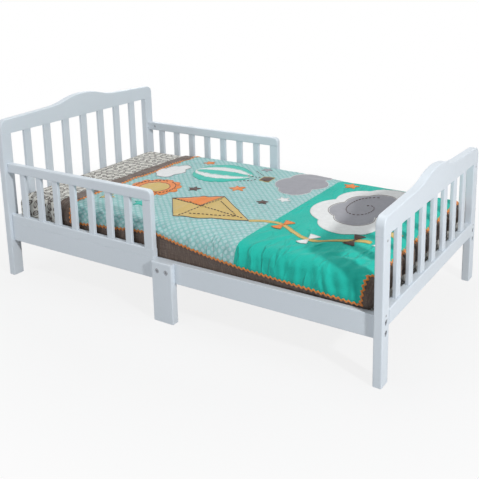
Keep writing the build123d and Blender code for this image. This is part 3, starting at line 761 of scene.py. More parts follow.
def quilt_slots(cover):
    """Gives the material slots of the panel's and the rim's faces."""
    border, seam = cover.xs.index(HEAD_BORDER_X), cover.xs.index(SEAM_X)

    def panel(i):
        return BORDER if i < border else FIELD if i < seam else BLOCK

    def rim(k, row):
        side, column, _, angle = cover.stations[k]
        if side in ("front", "back"):
            column = min(column, cover.stations[k + 1].column)
        round_foot = side in ("foot", "front_corner") or side == "foot_corner" and angle < MITRE
        if side == "front":
            round_foot = column + 0.5 >= turn_column(cover, row + 0.5)
        return BORDER if row >= (SHOULDER_ROWS if round_foot else LINE_ROW) else panel(column)
    return panel, rim


# Upright folds: mean, swing and rate of the half width, share of depth, lean and stride
FOLD_WAVES = (0.0085, 0.0025, 2.3), (0.75, 0.35, 1.9), (0.16, 0.14, 1.3), (1.0, 0.35, 2.9)
FOLD_MIDDLE = 0.05


def fold_table(first, last, step, depth, seed):
    """Upright folds along a drape: (place, half width, depth, lean), unevenly spaced."""
    out = []
    place = first
    while place < last:
        n = len(out) + seed
        half, share, lean, stride = (mean + swing * math.sin(rate * n) for mean, swing, rate in FOLD_WAVES)
        out.append((place, half, depth * share, lean))
        place += step * stride
    return out


FIELD_FOLDS = fold_table(first=-0.42, last=0.22, step=0.047, depth=0.0036, seed=0)
BLOCK_FOLDS = fold_table(first=0.255, last=0.632, step=0.034, depth=0.0074, seed=3)
FOOT_FOLDS = fold_table(first=-0.32, last=0.33, step=0.036, depth=0.0088, seed=7)

# Trough beside a fold or a crease: share of its height, place and half width
FOLD_TROUGH, CREASE_TROUGH = (0.45, 1.9, 0.9), (0.5, 1.8, 1.1)

# Creases on the quilt's top: x and y of the start, of the end, height, half width
CREASES = (
    (0.285, -0.335, 0.350, -0.205, 0.0045, 0.010), (0.350, -0.330, 0.470, -0.200, 0.0040, 0.012),
    (0.430, -0.330, 0.545, -0.235, 0.0050, 0.011), (0.260, -0.270, 0.300, -0.190, 0.0030, 0.008),
    (0.500, -0.310, 0.640, -0.255, 0.0055, 0.014), (0.470, -0.130, 0.660, -0.170, 0.0045, 0.016),
    (0.520, -0.010, 0.660, -0.040, 0.0040, 0.015), (0.500, 0.120, 0.660, 0.140, 0.0035, 0.018),
    (0.080, -0.320, 0.150, -0.240, 0.0026, 0.012), (-0.060, -0.310, 0.020, -0.250, 0.0024, 0.014),
    (-0.430, -0.060, -0.300, 0.050, 0.0026, 0.016), (-0.420, 0.150, -0.280, 0.240, 0.0026, 0.016),
    (-0.020, -0.330, 0.100, -0.215, 0.0034, 0.009), (0.035, -0.335, 0.165, -0.250, 0.0036, 0.009),
    (0.110, -0.335, 0.225, -0.275, 0.0034, 0.008), (0.150, -0.295, 0.230, -0.215, 0.0030, 0.008),
    (-0.110, -0.335, -0.030, -0.255, 0.0032, 0.009), (-0.340, 0.020, -0.260, 0.110, 0.0030, 0.010),
    (0.330, -0.335, 0.365, -0.240, 0.0042, 0.008), (0.405, -0.335, 0.450, -0.225, 0.0042, 0.008),
    (0.470, -0.335, 0.500, -0.260, 0.0040, 0.008), (0.560, -0.335, 0.585, -0.230, 0.0044, 0.009),
    (0.600, -0.330, 0.640, -0.180, 0.0046, 0.010), (0.120, 0.250, 0.320, 0.300, 0.0028, 0.018),
    (-0.180, -0.290, -0.080, -0.230, 0.0024, 0.013))
CREASE_RISE, CREASE_FALL = (-0.15, 0.25), (1.15, 0.7)


def ridge(away, trough):
    """Height of a ridge with a trough beside it, at so many half widths from its line."""
    depth, place, half = trough
    return bell(away) - depth * bell((away - place) / half)


def folds(along, drop, table):
    """Height of the upright folds at a point of a drape."""
    total = 0.0
    for place, half, depth, lean in table:
        total += depth * ridge((along - place - lean * (drop - FOLD_MIDDLE)) / half, FOLD_TROUGH)
    return total


def creases(x, y):
    """Height of the creases at a point of the top, each faded in and out along its line."""
    total = 0.0
    for start_x, start_y, end_x, end_y, height, half in CREASES:
        run = Vector((end_x - start_x, end_y - start_y))
        spot = Vector((x - start_x, y - start_y))
        share = spot.dot(run) / run.length_squared
        fade = smooth(*CREASE_RISE, share) * smooth(*CREASE_FALL, share)
        if fade > 0:
            away = spot.dot(Vector((-run.y, run.x)).normalized()) / half
            total += height * fade * ridge(away, CREASE_TROUGH)
    return total


# Filling of the quilt: height, pitch and seed of its ripples, and how much of it shows on upright parts
PUFFS, PUFF_UPRIGHT = ((0.0022, 0.13, 1.3), (0.0012, 0.05, 4.2)), 0.4
HEAD_FLATTEN, HEAD_FLATTEN_WIDTH = 0.0055, 0.04
HEAD_SKEW, SKEW_REACH, SKEW_HALF = 0.010, (-0.10, -0.40), 0.35


def puff_quilt(cover):
    """Soft filling between the seams, a flatter head edge, and the slight skew of the head border."""
    for place, normal, (x, y) in zip(cover.verts, cover.normals, cover.uvs):
        puff = sum(height * ripple(x, y, pitch, seed) for height, pitch, seed in PUFFS)
        place += normal * puff * (PUFF_UPRIGHT + (1 - PUFF_UPRIGHT) * normal.z)
        head = smooth(HEAD_BORDER_X, HEAD_BORDER_X - HEAD_FLATTEN_WIDTH, x)
        place.z -= head * HEAD_FLATTEN * normal.z
        place.x += HEAD_SKEW * smooth(*SKEW_REACH, x) * math.sin(place.y / SKEW_HALF * QUARTER)


# Folds, flare, gathers, creases and seams of the quilt, with where each starts and ends
UPRIGHT_FADE, LEAST_SIDE, FOOT_NORMAL, FRONT_NORMAL = (1.0, 0.2), 0.01, 0.7, -0.05
FOLD_RISE, FOLD_FALL, FOLD_LEFT, BACK_FOLDS = (-0.2, 0.45), (1.0, 0.8), 0.15, 0.6
TRIM_OVERHANG, FLARE_RISE, FLARE_FALL, FLARE_REACH = 0.010, (0.1, 1.0), (1.4, 1.0), (-0.06, 0.06)
# Gathers: the rise of their folds, and the fold heights over which painted shade fills the gaps and a
# painted highlight the crests
GATHER_RISE, GATHER_SHADE_RANGE, GATHER_HIGHLIGHT_RANGE = (0.0, 0.5), (0.0004, -0.0022), (0.0004, 0.0040)
EDGE_CREASE, EDGE_CREASE_DROP, EDGE_CREASE_HALF = 0.0045, 0.014, 0.006
EDGE_CREASE_HEAD, EDGE_CREASE_FOOT = (-0.42, -0.36), (0.02, -0.06)
SEAM_DEPTH, SEAM_HALF = 0.0012, 0.004


def side_move(place, normal, drop, share):
    """How far folds and flare push out a point of the drapes along the bed."""
    hang = smooth(*FOLD_RISE, share) * (FOLD_LEFT + (1 - FOLD_LEFT) * smooth(*FOLD_FALL, share))
    hang *= 1.0 if normal.y < 0 else BACK_FOLDS
    flare = smooth(*FLARE_RISE, share) * smooth(*FLARE_FALL, share) * smooth(*FLARE_REACH, place.x)
    return folds(place.x, drop, FIELD_FOLDS + BLOCK_FOLDS) * hang + TRIM_OVERHANG * flare


def crease_quilt(cover):
    """Creases on the top, folds on the drapes, the line pushed out over the rail, and sunken seams."""
    cover.gathers = [0.0] * len(cover.verts)
    for n, (place, normal) in enumerate(zip(cover.verts, cover.normals)):
        flat_x, flat_y = cover.uvs[n]
        side, drop = 1 - normal.z, cover.drops[n]
        share = (cover.rows[n] - SHOULDER_ROWS) / DRAPE_ROWS
        move = creases(flat_x, flat_y) * smooth(*UPRIGHT_FADE, side)
        if side > LEAST_SIDE and abs(normal.x) < FOOT_NORMAL:
            move += side_move(place, normal, drop, share)
        elif side > LEAST_SIDE:
            deep = folds(place.y, drop, FOOT_FOLDS)
            move += deep * smooth(*GATHER_RISE, share)
            # Share of painted shade in the gathers' gaps, less than 0 for the painted highlight on their
            # crests
            cover.gathers[n] = smooth(*GATHER_SHADE_RANGE, deep) - smooth(*GATHER_HIGHLIGHT_RANGE, deep)
        if normal.y < FRONT_NORMAL:
            beside = smooth(*EDGE_CREASE_HEAD, place.x) * smooth(*EDGE_CREASE_FOOT, place.x)
            move -= EDGE_CREASE * beside * bell((drop - EDGE_CREASE_DROP) / EDGE_CREASE_HALF)
        seams = sum(bell((flat_x - line) / SEAM_HALF) for line in (SEAM_X, HEAD_BORDER_X))
        place += normal * (move - SEAM_DEPTH * seams)


# Cloth simulation of the quilt
SETTLE_FRAMES, SETTLE_CAP, SETTLE_SIDE_EASE, SETTLE_GROWTH = 20, 0.009, 0.65, 0.028
FOOT_LOOSE_ROWS, HEAD_HOLD = 2, 0.9
SUPPORT = {"thickness_outer": 0.003, "cloth_friction": 12.0}
CLOTH = {"quality": 6, "mass": 0.25, "tension_stiffness": 18.0, "compression_stiffness": 18.0,
         "shear_stiffness": 6.0, "bending_stiffness": 0.5, "air_damping": 4.0,
         "shrink_min": -SETTLE_GROWTH, "shrink_max": -SETTLE_GROWTH}
CLOTH_GAP = 0.002


def pin(piece, cover):
    """Group of the points that are held: the border on the drapes fully, the head edge partly."""
    group = piece.vertex_groups.new(name="held")
    for station, column in zip(cover.stations, cover.rim):
        first = LINE_ROW + FOOT_LOOSE_ROWS if station.side == "foot" else LINE_ROW
        group.add(column[first:], 1.0, "REPLACE")
    group.add(cover.panel[0], HEAD_HOLD, "REPLACE")
    return group


def settle(piece, cover, support):
    """Lets the quilt settle as cloth cut slightly large, then keeps each point near where it began."""
    group = pin(piece, cover)
    solid = support.modifiers.new("support", "COLLISION")
    cloth = piece.modifiers.new("settle", "CLOTH")
    for target, values in ((support.collision, SUPPORT), (cloth.settings, CLOTH)):
        for key, value in values.items():
            setattr(target, key, value)
    cloth.settings.vertex_group_mass = group.name
    cloth.collision_settings.distance_min = CLOTH_GAP
    cloth.point_cache.frame_end = SETTLE_FRAMES
    for number in range(1, SETTLE_FRAMES + 1):
        bpy.context.scene.frame_set(number)
    moved = piece.evaluated_get(bpy.context.evaluated_depsgraph_get()).data.vertices
    for n, vertex in enumerate(moved):
        shift = vertex.co - cover.verts[n]
        shift *= min(1.0, SETTLE_CAP / max(shift.length, 1e-9))
        cover.verts[n] += shift * (1 - SETTLE_SIDE_EASE * (1 - cover.normals[n].z))
    piece.modifiers.remove(cloth)
    support.modifiers.remove(solid)
    piece.vertex_groups.remove(group)
    bpy.context.scene.frame_set(1)


# Clearances of the quilt's drapes, and how far they may lean out over the side rails
DRAPE_GAP, BOARD_GAP, GUARD_END_GAP, GUARD_FOOT_GAP = 0.0015, 0.002, 0.02, 0.004
OVER_RAIL, OVER_RAIL_RISE = 0.016, 0.02


def keep_clear(cover):
    """Holds the drapes off the rails, guards and boards beside them."""
    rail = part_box("front_side_rail")[1]
    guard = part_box("front_guard_bottom_rail")[1]
    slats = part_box("front_guard_slats")[1]
    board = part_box("footboard_slat_1")[0]
    for place in cover.verts:
        limit = -rail.y - DRAPE_GAP
        if place.x > guard.x + GUARD_END_GAP:
            limit += OVER_RAIL * smooth(rail.z, rail.z + OVER_RAIL_RISE, place.z)
        elif place.z > guard.z + GUARD_FOOT_GAP:
            limit = -slats.y - DRAPE_GAP
        place.y = clamp(place.y, -limit, limit)
        place.x = min(place.x, board.x - BOARD_GAP)


def make_quilt(materials, support):
    """Quilt: a modelled drape that settles as cloth, then gets its creases, folds and thickness."""
    low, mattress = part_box("quilt")[0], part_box("mattress")[1]
    half = mattress.y + QUILT_EASE - SHOULDER_OUT
    foot = mattress.x + QUILT_EASE - SHOULDER_OUT
    xs = lines([low.x, HEAD_BORDER_X, SEAM_X, foot], GRID_STEP)
    cover = Cover(xs, lines([-half, half], GRID_STEP), ("front", "foot", "back"))
    panel_slot, rim_slot = quilt_slots(cover)
    cover.fill_grid(cover.panel, panel_slot)
    cover.add_rim(quilt_rows(cover, low.z + HEM_RISE))
    cover.fill_rim(rim_slot)
    cover.drops = [-place.z for place in cover.verts]
    rest_on_top(cover, QUILT_LIFT)
    puff_quilt(cover)
    piece = new_piece("quilt_cover", cover.verts, cover.faces, materials, cover.tags, cover.uvs)
    settle(piece, cover, support)
    crease_quilt(cover)
    keep_clear(cover)
    piece.data.vertices.foreach_set("co", np.array(cover.verts, dtype=np.float32).ravel())
    # Keeps that share for the border's painted shade and highlight
    piece.data.attributes.new("gather", "FLOAT", "POINT").data.foreach_set("value", cover.gathers)
    piece.data.update()
    thick = piece.modifiers.new("loft", "SOLIDIFY")
    thick.thickness, thick.offset = QUILT_THICKNESS, -1.0
    thick.material_offset = len(materials)
    even = piece.modifiers.new("soften", "SUBSURF")
    even.levels = even.render_levels = 1
    return piece, cover


# Ric-rac braid, in metres
RIC_RAC_WIDTH, RIC_RAC_WAVE, RIC_RAC_PERIOD, RIC_RAC_STEPS = 0.0074, 0.0032, 0.0145, 6
RIC_RAC_LIFT, RIC_RAC_EDGE, RIC_RAC_HEIGHT, RIC_RAC_FLAT = 0.0003, 0.0004, 0.0020, 0.6


def line_of_trim(cover):
    """Points along which the ric-rac is sewn, as one closed line."""
    def station(side, column=None, angle=-180):
        return next(k for k, s in enumerate(cover.stations)
                    if s.side == side and s.angle >= angle and column in (None, s.column))

    def spot(place, row):
        below = math.floor(place)
        ends = [cover.verts[cover.rim[k][row]] for k in (below, below + 1)]
        return ends[0].lerp(ends[1], place - below)
    border = cover.xs.index(HEAD_BORDER_X)
    first, last = station("front", border), station("back", border)
    corner, far_turn = station("front_corner") - 1, station("foot_corner", angle=MITRE)
    out = [spot(k, LINE_ROW) for k in range(first, math.ceil(corner - TURN_COLUMNS))]
    out += [spot(turn_column(cover, row), row) for row in range(LINE_ROW, SHOULDER_ROWS, -1)]
    out += [spot(k, SHOULDER_ROWS) for k in range(corner, far_turn + 1)]
    out += [spot(far_turn, row) for row in range(SHOULDER_ROWS + 1, LINE_ROW)]
    out += [spot(k, LINE_ROW) for k in range(far_turn, last + 1)]
    out += [spot(last, row) for row in range(LINE_ROW - 1, 0, -1)]
    out += [cover.verts[n].copy() for n in cover.panel[border][::-1]]
    out += [spot(first, row) for row in range(1, LINE_ROW)]
    return out


def make_ric_rac(cover, tree, material):
    """Zigzag braid sewn along the border's seam."""
    step = RIC_RAC_PERIOD / RIC_RAC_STEPS
    path = resample(line_of_trim(cover), step, True)
    count = len(path)
    waves = round(count / RIC_RAC_STEPS)
    section = ((-1, RIC_RAC_EDGE), (-RIC_RAC_FLAT, RIC_RAC_HEIGHT),
               (RIC_RAC_FLAT, RIC_RAC_HEIGHT), (1, RIC_RAC_EDGE))
    verts, uvs, faces = [], [], []
    for n, spot in enumerate(path):
        near, normal = tree.find_nearest(spot)[:2]
        ahead = (path[(n + 2) % count] - path[n - 2]).normalized()
        across = normal.cross(ahead).normalized()
        swing = RIC_RAC_WAVE * math.sin(2 * math.pi * waves * n / count)
        for side, height in section:
            away = side * RIC_RAC_WIDTH / 2
            verts.append(near + across * (swing + away) + normal * (height + RIC_RAC_LIFT))
            uvs.append((n * step, away))
        m = (n + 1) % count
        faces.extend((4 * n + k, 4 * n + k + 1, 4 * m + k + 1, 4 * m + k) for k in range(3))
    return new_piece("quilt_ric_rac", verts, faces, [material], uvs=uvs)


# Sewn-on designs, in metres on the bed: kite, tail and bows
KITE_PLACE, KITE_TURN = (0.005, -0.170), -8
KITE_HEAD, KITE_FOOT, KITE_HALF, KITE_BAR = 0.150, 0.180, 0.118, 0.024
TAIL_STEPS, TAIL_LENGTH, TAIL_SWING, TAIL_WAVES, TAIL_WIDTH = 40, 0.38, 0.032, 1.3, 0.013
BOW, BOW_SWING = ((0.0, 0.0), (0.034, 0.018), (0.034, -0.018)), 12
BOWS = ((11, "orange"), (23, "white"), (35, "brown"))

# Sewing on the kite, a little inside its edges
SPINE_HEAD, SPINE_FOOT = 0.92 * KITE_HEAD, -0.92 * KITE_FOOT
SPAR_HALF, SPAR_RISE = 0.88 * KITE_HALF, 0.6 * KITE_BAR
BRACE_HALF, BRACE_FOOT = 0.7 * SPAR_HALF, 0.8 * SPINE_FOOT
KITE_SEAMS = (((0.0, SPINE_HEAD), (0.0, SPINE_FOOT)), ((-SPAR_HALF, SPAR_RISE), (SPAR_HALF, SPAR_RISE)),
              ((-BRACE_HALF, 0.0), (0.0, BRACE_FOOT)), ((BRACE_HALF, 0.0), (0.0, BRACE_FOOT)))

# Sun and balloon, with the balloon's parts in shares of its radius
SUN_PLACE, SUN_RADIUS, SUN_FACE = (-0.272, -0.085), 0.094, 0.054
RAYS, RAY_DEPTH, RAY_ROUND = 12, 0.20, 0.6
BAG_PLACE, BAG_TURN, BAG_RADIUS = (-0.165, 0.168), 6, 0.106
BAG_NECK, BAG_MOUTH, BAG_TAPER, BAG_STRIPES = 1.12, 0.22, 0.9, ((-0.62, -0.25), (0.25, 0.62))
BASKET = ((-0.27, -1.90), (0.27, -1.90), (0.22, -1.52), (-0.22, -1.52))
ROPES = (((-0.65, -1.02), (-0.22, -1.52)), ((0.65, -1.02), (0.22, -1.52)), ((0.0, -1.02), (0.0, -1.52)))

# Clouds, with their lumps in shares of the width, and stars
LUMPS = ((-0.30, -0.02, 0.20), (-0.10, 0.06, 0.27), (0.16, 0.04, 0.23), (0.34, -0.04, 0.16),
         (0.0, -0.10, 0.20))
BIG_CLOUD_PLACE = (0.435, 0.085)
CLOUDS = (("grey", 0, 0.28, (0.150, 0.222), "white"), ("white", 0, 0.17, (-0.340, 0.105), "grey"),
          ("white", 0, 0.46, BIG_CLOUD_PLACE, "white"), ("grey", 1, 0.31, BIG_CLOUD_PLACE, "brown"))
SWIRL_WIDE, SWIRL_HIGH, SWIRL_STEPS, SWIRL_SHRINK, SWIRL_ANGLE = 0.115, 0.07, 36, 1 / 40, 1 / 5
STAR_POINTS, STAR_WAIST, STAR_TURN = 5, 0.48, 17
CIRCLE_POINTS, SUN_POINTS, CLOUD_POINTS, BAG_ROWS = 40, 144, 120, 24
STARS = (("brown", (-0.142, -0.030), 0.024), ("orange", (-0.015, 0.045), 0.030),
         ("white", (0.175, 0.030), 0.024), ("mustard", (-0.345, -0.240), 0.026),
         ("teal", (-0.205, -0.235), 0.028), ("brown", (0.130, -0.030), 0.020),
         ("orange", (-0.285, 0.262), 0.024), ("mustard", (0.590, -0.070), 0.030),
         ("orange", (0.300, 0.275), 0.028), ("brown", (0.575, 0.275), 0.024),
         ("white", (0.590, -0.170), 0.020), ("grey", (-0.045, 0.290), 0.022))


def polar(count, reach):
    """Closed outline from its reach in each direction."""
    turns = [2 * math.pi * k / count for k in range(count)]
    return [(reach(t) * math.cos(t), reach(t) * math.sin(t)) for t in turns]


def circle(radius):
    return polar(CIRCLE_POINTS, lambda t: radius)


def sun():
    def reach(t):
        ray = abs(math.cos(RAYS * t / 2)) ** RAY_ROUND
        return SUN_RADIUS * (1 - RAY_DEPTH + RAY_DEPTH * ray)
    return polar(SUN_POINTS, reach)


def cloud(width):
    """Outline of a cloud: the furthest reach of several round lumps seen from its middle."""
    def reach(t):
        best = 0.0
        for x, y, radius in LUMPS:
            along = x * math.cos(t) + y * math.sin(t)
            under = radius ** 2 - (x * x + y * y - along * along)
            if under > 0:
                best = max(best, along + math.sqrt(under))
        return width * best
    return polar(CLOUD_POINTS, reach)


def star(size):
    turns = [QUARTER + math.pi * k / STAR_POINTS for k in range(2 * STAR_POINTS)]
    radii = [size, size * STAR_WAIST] * STAR_POINTS
    return [(r * math.cos(t), r * math.sin(t)) for r, t in zip(radii, turns)]


def ribbon(points, width):
    """Outline of a narrow band along a line."""
    left, right = [], []
    for n, spot in enumerate(points):
        ahead = (points[min(n + 1, len(points) - 1)] - points[max(n - 1, 0)]).normalized()
        side = Vector((-ahead.y, ahead.x)) * width / 2
        left.append(spot + side)
        right.append(spot - side)
    return left + right[::-1]


def balloon(low, high):
    """Part of the balloon's round bag between two shares of its width, from -1 to 1."""
    def half(h):
        if h > 0:
            return math.sqrt(max(0.0, 1 - h * h))
        return BAG_MOUTH + (1 - BAG_MOUTH) * math.cos(h / BAG_NECK * QUARTER) ** BAG_TAPER
    heights = [(1 + BAG_NECK) * k / BAG_ROWS - BAG_NECK for k in range(BAG_ROWS + 1)]
    return [(high * half(h), h) for h in heights] + [(low * half(h), h) for h in heights[::-1]]


def placed(outline, centre, turn=0.0, scale=1.0):
    """Outline on the quilt: its up points to the head of the bed."""
    c, s = math.cos(math.radians(turn)) * scale, math.sin(math.radians(turn)) * scale
    return [Vector((centre[0] - s * r - c * h, centre[1] + c * r - s * h)) for r, h in outline]


def on_kite(outline):
    return placed(outline, KITE_PLACE, KITE_TURN)


def on_bag(outline):
    return placed(outline, BAG_PLACE, BAG_TURN, BAG_RADIUS)


def kite_tail():
    """Line of the kite's tail from its lowest corner towards the foot, in bed coordinates."""
    start = on_kite([(0.0, -KITE_FOOT)])[0]
    shares = [k / TAIL_STEPS for k in range(TAIL_STEPS + 1)]
    swings = [TAIL_SWING * math.sin(2 * math.pi * TAIL_WAVES * share) for share in shares]
    return [start + Vector((TAIL_LENGTH * share, swing)) for share, swing in zip(shares, swings)]


def designs():
    """Every sewn-on shape: (colour, layer, outline on the bed, edge thread)."""
    kite = [(0.0, KITE_HEAD), (KITE_HALF, KITE_BAR), (0.0, -KITE_FOOT), (-KITE_HALF, KITE_BAR)]
    kite_top = [(0.0, KITE_HEAD), (KITE_HALF, KITE_BAR), (0.0, KITE_BAR)]
    tail = kite_tail()
    out = [("mustard", 0, on_kite(kite), "brown"), ("orange", 1, on_kite(kite_top), "brown"),
           ("mustard", 0, ribbon(tail, TAIL_WIDTH), "mustard")]
    for n, colour in BOWS:
        for outline in (BOW, [(-r, -h) for r, h in BOW]):
            out.append((colour, 1, placed(outline, tail[n], BOW_SWING * math.sin(n)), colour))
    out += [("orange", 0, placed(sun(), SUN_PLACE), "orange"),
            ("mustard", 1, placed(circle(SUN_FACE), SUN_PLACE), "brown"),
            ("teal", 0, on_bag(balloon(-1, 1)), "teal")]
    out += [("white", 1, on_bag(balloon(low, high)), "white") for low, high in BAG_STRIPES]
    out.append(("brown", 0, on_bag(BASKET), "mustard"))
    for colour, layer, width, place, edging in CLOUDS:
        out.append((colour, layer, placed(cloud(width), place), edging))
    for n, (colour, place, size) in enumerate(STARS):
        out.append((colour, 0, placed(star(size), place, STAR_TURN * n), colour))
    return out


def stitches():
    """Lines of dashed sewing on the designs, in bed coordinates."""
    ring = circle((SUN_RADIUS + SUN_FACE) / 2)
    turns = [(1 - k * SWIRL_SHRINK, k * SWIRL_ANGLE) for k in range(SWIRL_STEPS)]
    swirl = [(SWIRL_WIDE * reach * math.cos(t), SWIRL_HIGH * reach * math.sin(t)) for reach, t in turns]
    out = [on_kite(line) for line in KITE_SEAMS] + [on_bag(rope) for rope in ROPES]
    return out + [placed(ring, SUN_PLACE), placed(swirl, BIG_CLOUD_PLACE)]


# Sewing, in metres: felt that follows the quilt, thread round it and dashes on it
PATCH_STEP, PATCH_EDGE_STEP, PATCH_INSET = 0.009, 0.0054, 0.0036
PATCH_PUFF, PATCH_PUFF_WIDTH, PATCH_LIFT, LAYER_LIFT = 0.0016, 0.010, 0.0006, 0.0011
THREAD_RADIUS, THREAD_LIFT = 0.0012, 0.0009
DASH, GAP, DASH_STEP, DASH_LIFT = 0.009, 0.005, 0.0015, 0.0040
ABOVE_BED, INSIDE_ONLY, TOLERANCE = 1.0, 1, 1e-6


def inside(spot, outline):
    """Whether a point lies within a closed outline."""
    hit = False
    for a, b in zip(outline, outline[1:] + outline[:1]):
        if (a.y > spot.y) != (b.y > spot.y) and spot.x < (b.x - a.x) * (spot.y - a.y) / (b.y - a.y) + a.x:
            hit = not hit
    return hit


def edge_distance(spot, outline):
    """Distance from a point to an outline."""
    reaches = []
    for a, b in zip(outline, outline[1:] + outline[:1]):
        near, share = geometry.intersect_point_line(spot, a, b)
        near = a if share < 0 else b if share > 1 else Vector(near[:2])
        reaches.append((spot - near).length)
    return min(reaches)


def dropped(tree, spot, lift):
    """The point of the quilt's top below a flat place, raised along its normal."""
    place, normal = tree.ray_cast(Vector((spot.x, spot.y, ABOVE_BED)), -UP)[:2]
    return place + normal * lift


def patch(tree, outline, layer):
    """Vertices, faces and edge of one sewn-on shape that follows the quilt."""
    edge = resample(outline, PATCH_EDGE_STEP, True)
    low = Vector((min(p.x for p in edge), min(p.y for p in edge)))
    high = Vector((max(p.x for p in edge), max(p.y for p in edge)))
    spots = list(edge)
    for i in range(1, int((high.x - low.x) / PATCH_STEP) + 1):
        for j in range(1, int((high.y - low.y) / PATCH_STEP) + 1):
            spot = low + Vector((i * PATCH_STEP, j * PATCH_STEP))
            if inside(spot, edge) and edge_distance(spot, edge) > PATCH_INSET:
                spots.append(spot)
    ring = [(k, (k + 1) % len(edge)) for k in range(len(edge))]
    flat, _, faces, *_ = geometry.delaunay_2d_cdt(spots, ring, [], INSIDE_ONLY, TOLERANCE)
    verts = []
    for spot in flat:
        rise = smooth(0.0, PATCH_PUFF_WIDTH, edge_distance(Vector(spot), edge)) * PATCH_PUFF
        verts.append(dropped(tree, spot, PATCH_LIFT + LAYER_LIFT * layer + rise))
    return verts, [tuple(f) for f in faces], edge


def dashes(line):
    """Cuts a line into short stitches."""
    fine = resample(line, DASH_STEP)
    on, period = round(DASH / DASH_STEP), round((DASH + GAP) / DASH_STEP)
    return [fine[n:n + on] for n in range(0, len(fine) - on, period)]


def make_appliques(tree, cloths, threads):
    """Sewn-on shapes, one piece to each colour, and their stitching."""
    shapes = {colour: Heap() for colour in cloths}
    sewing = {colour: Heap() for colour in threads}
    for colour, layer, outline, edging in designs():
        verts, faces, edge = patch(tree, outline, layer)
        shapes[colour].take(verts, faces)
        seam = [dropped(tree, spot, THREAD_LIFT + LAYER_LIFT * layer) for spot in edge]
        sewing[edging].take(*tube(seam, THREAD_RADIUS, True))
    for line in stitches():
        for dash in dashes(line):
            sewing["brown"].take(*tube([dropped(tree, p, DASH_LIFT) for p in dash], THREAD_RADIUS, False))
    pieces = []
    for group, looks, label in ((shapes, cloths, "quilt_applique_"), (sewing, threads, "quilt_stitching_")):
        for colour, heap in group.items():
            if heap.faces:
                pieces.append(new_piece(label + colour, heap.verts, heap.faces, [looks[colour]]))
    return pieces


def dress_frame():
    """Puts the wood, paint and steel on the solids that stay in view."""
    paint, steel = painted_wood(), zinc_steel()
    looks = {"_ledger": bare_wood("pine_ledger", PINE, PINE_DARK, GRAIN_ALONG),
             "_dowels": bare_wood("beech_dowel", BEECH, BEECH_DARK, GRAIN_UPRIGHT),
             "_bolts": steel, "_nuts": steel, "_screws": steel, "_pins": steel}
    pine_across = bare_wood("pine_slat", PINE, PINE_DARK, GRAIN_ACROSS)
    for name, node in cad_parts.items():
        look = next((look for ending, look in looks.items() if name.endswith(ending)), paint)
        if name.startswith("deck_slat"):
            look = pine_across
        for slot in node.material_slots:
            slot.material = look


def dress_bedding():
    """Mattress, fitted sheet and quilt with its trims."""
    mattress, piping = make_mattress(ticking())
    bed_piece(mattress, "mattress_cover", "mattress")
    bed_piece(piping, "mattress_cover")
    sheet = bed_piece(make_sheet(sheet_print()), "sheet_cotton", "fitted_sheet")
    quilt, cover = make_quilt([dotted_aqua(), plain_teal(), border_linen(), quilt_backing()], sheet)
    bed_piece(quilt, "quilt_cotton", "quilt")
    tree = BVHTree.FromObject(quilt, bpy.context.evaluated_depsgraph_get())
    cloths = {key: felt("felt_" + key, value) for key, value in FELTS.items()}
    threads = {key: thread("thread_" + key, value) for key, value in FELTS.items()}
    trims = [make_ric_rac(cover, tree, braid())] + make_appliques(tree, cloths, threads)
    for trim in trims:
        bed_piece(trim, "quilt_cotton")


# Floor, in metres, and how much of it glows white near the bed and away from it
FLOOR_HALF, FLOOR_OVAL, FLOOR_FADE, FLOOR_GLOW = 9.0, (1.0, 1.35, 1.0), (0.9, 1.9), (0.84, 1.0)
WHITE_LIGHT = (1.0, 1.0, 1.0, 1.0)
AMBIENT, AMBIENT_COLOUR = 0.24, (0.98, 0.99, 1.0, 1.0)

# Lamps: name, place, aim, size, watts
LAMPS = (("overhead", (-0.3, 0.4, 2.9), (0, 0, 0.2), 2.4, 31.0),
         ("foot_side", (3.20, -1.40, 2.15), (0.4, 0, 0.3), 0.26, 84.0),
         ("front_fill", (-1.9, -2.9, 1.3), (-0.5, 0, 0.25), 2.2, 23.5),
         ("back_fill", (-2.2, 2.9, 1.5), (-0.3, 0, 0.25), 2.2, 13.0))

# Camera, in metres, degrees and millimetres
CAMERA_PLACE = (1.3214, -1.9519, 1.0561)
CAMERA_YAW, CAMERA_PITCH, CAMERA_ROLL = -33.523, 12.970, -1.350
CAMERA_SENSOR, CAMERA_LENS, CAMERA_SHIFT_Y = 36.0, 55.47, -0.2296


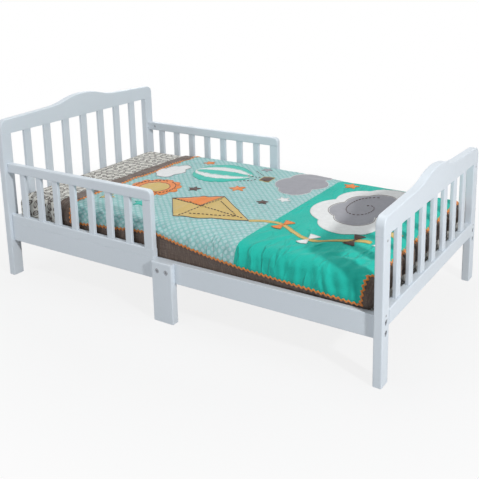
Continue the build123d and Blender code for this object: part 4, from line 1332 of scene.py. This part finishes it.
def stage_floor():
    """Plain pale floor that keeps the bed's shadow and meets the white background."""
    p = Paint("studio_floor", 0.95, Specular_IOR_Level=0.0)
    p.tint(p.mottle(p.place(), 300.0), *FLOOR_COLOURS)
    glow = p.add("Emission", {"Color": WHITE_LIGHT, "Strength": 1.0})
    near = p.map(p.vector("LENGTH", p.place(FLOOR_OVAL)), *FLOOR_FADE, *FLOOR_GLOW)
    p.show("Material Output", p.math("MULTIPLY", p.seen(), near), p.shader, glow)
    corners = [(x * FLOOR_HALF, y * FLOOR_HALF, 0) for x, y in ((-1, -1), (1, -1), (1, 1), (-1, 1))]
    new_piece("floor", corners, [(0, 1, 2, 3)], [p.material])


def light_world():
    """Soft light from all round, and a white background where it is seen."""
    world = bpy.data.worlds.new("studio")
    bpy.context.scene.world = world
    world.use_nodes = True
    nodes = Nodes(world.node_tree)
    around = nodes.tree.nodes["Background"]
    nodes.put(around.inputs["Color"], AMBIENT_COLOUR)
    nodes.put(around.inputs["Strength"], AMBIENT)
    white = nodes.add("Background", {"Color": WHITE_LIGHT, "Strength": 1.0})
    nodes.show("World Output", nodes.seen(), around, white)


def light_lamps():
    for name, place, aim, size, watts in LAMPS:
        data = bpy.data.lights.new(name, "AREA")
        data.shape, data.size, data.energy = "DISK", size, watts
        lamp = bpy.data.objects.new(name, data)
        lamp.location = place
        lamp.rotation_euler = (Vector(aim) - Vector(place)).to_track_quat("-Z", "Y").to_euler()
        bpy.context.scene.collection.objects.link(lamp)


def aim_camera():
    """Camera at the photograph's place, angle and lens."""
    data = bpy.data.cameras.new("camera")
    data.sensor_width, data.lens, data.shift_y = CAMERA_SENSOR, CAMERA_LENS, CAMERA_SHIFT_Y
    camera = bpy.data.objects.new("camera", data)
    camera.matrix_world = Matrix.Translation(CAMERA_PLACE)
    for angle, axis in ((-CAMERA_YAW, "Z"), (90 - CAMERA_PITCH, "X"), (CAMERA_ROLL, "Z")):
        camera.matrix_world @= Matrix.Rotation(math.radians(angle), 4, axis)
    bpy.context.scene.collection.objects.link(camera)
    bpy.context.scene.camera = camera


bpy.context.scene.view_settings.view_transform = "Standard"
dress_frame()
dress_bedding()
stage_floor()
light_world()
light_lamps()
aim_camera()
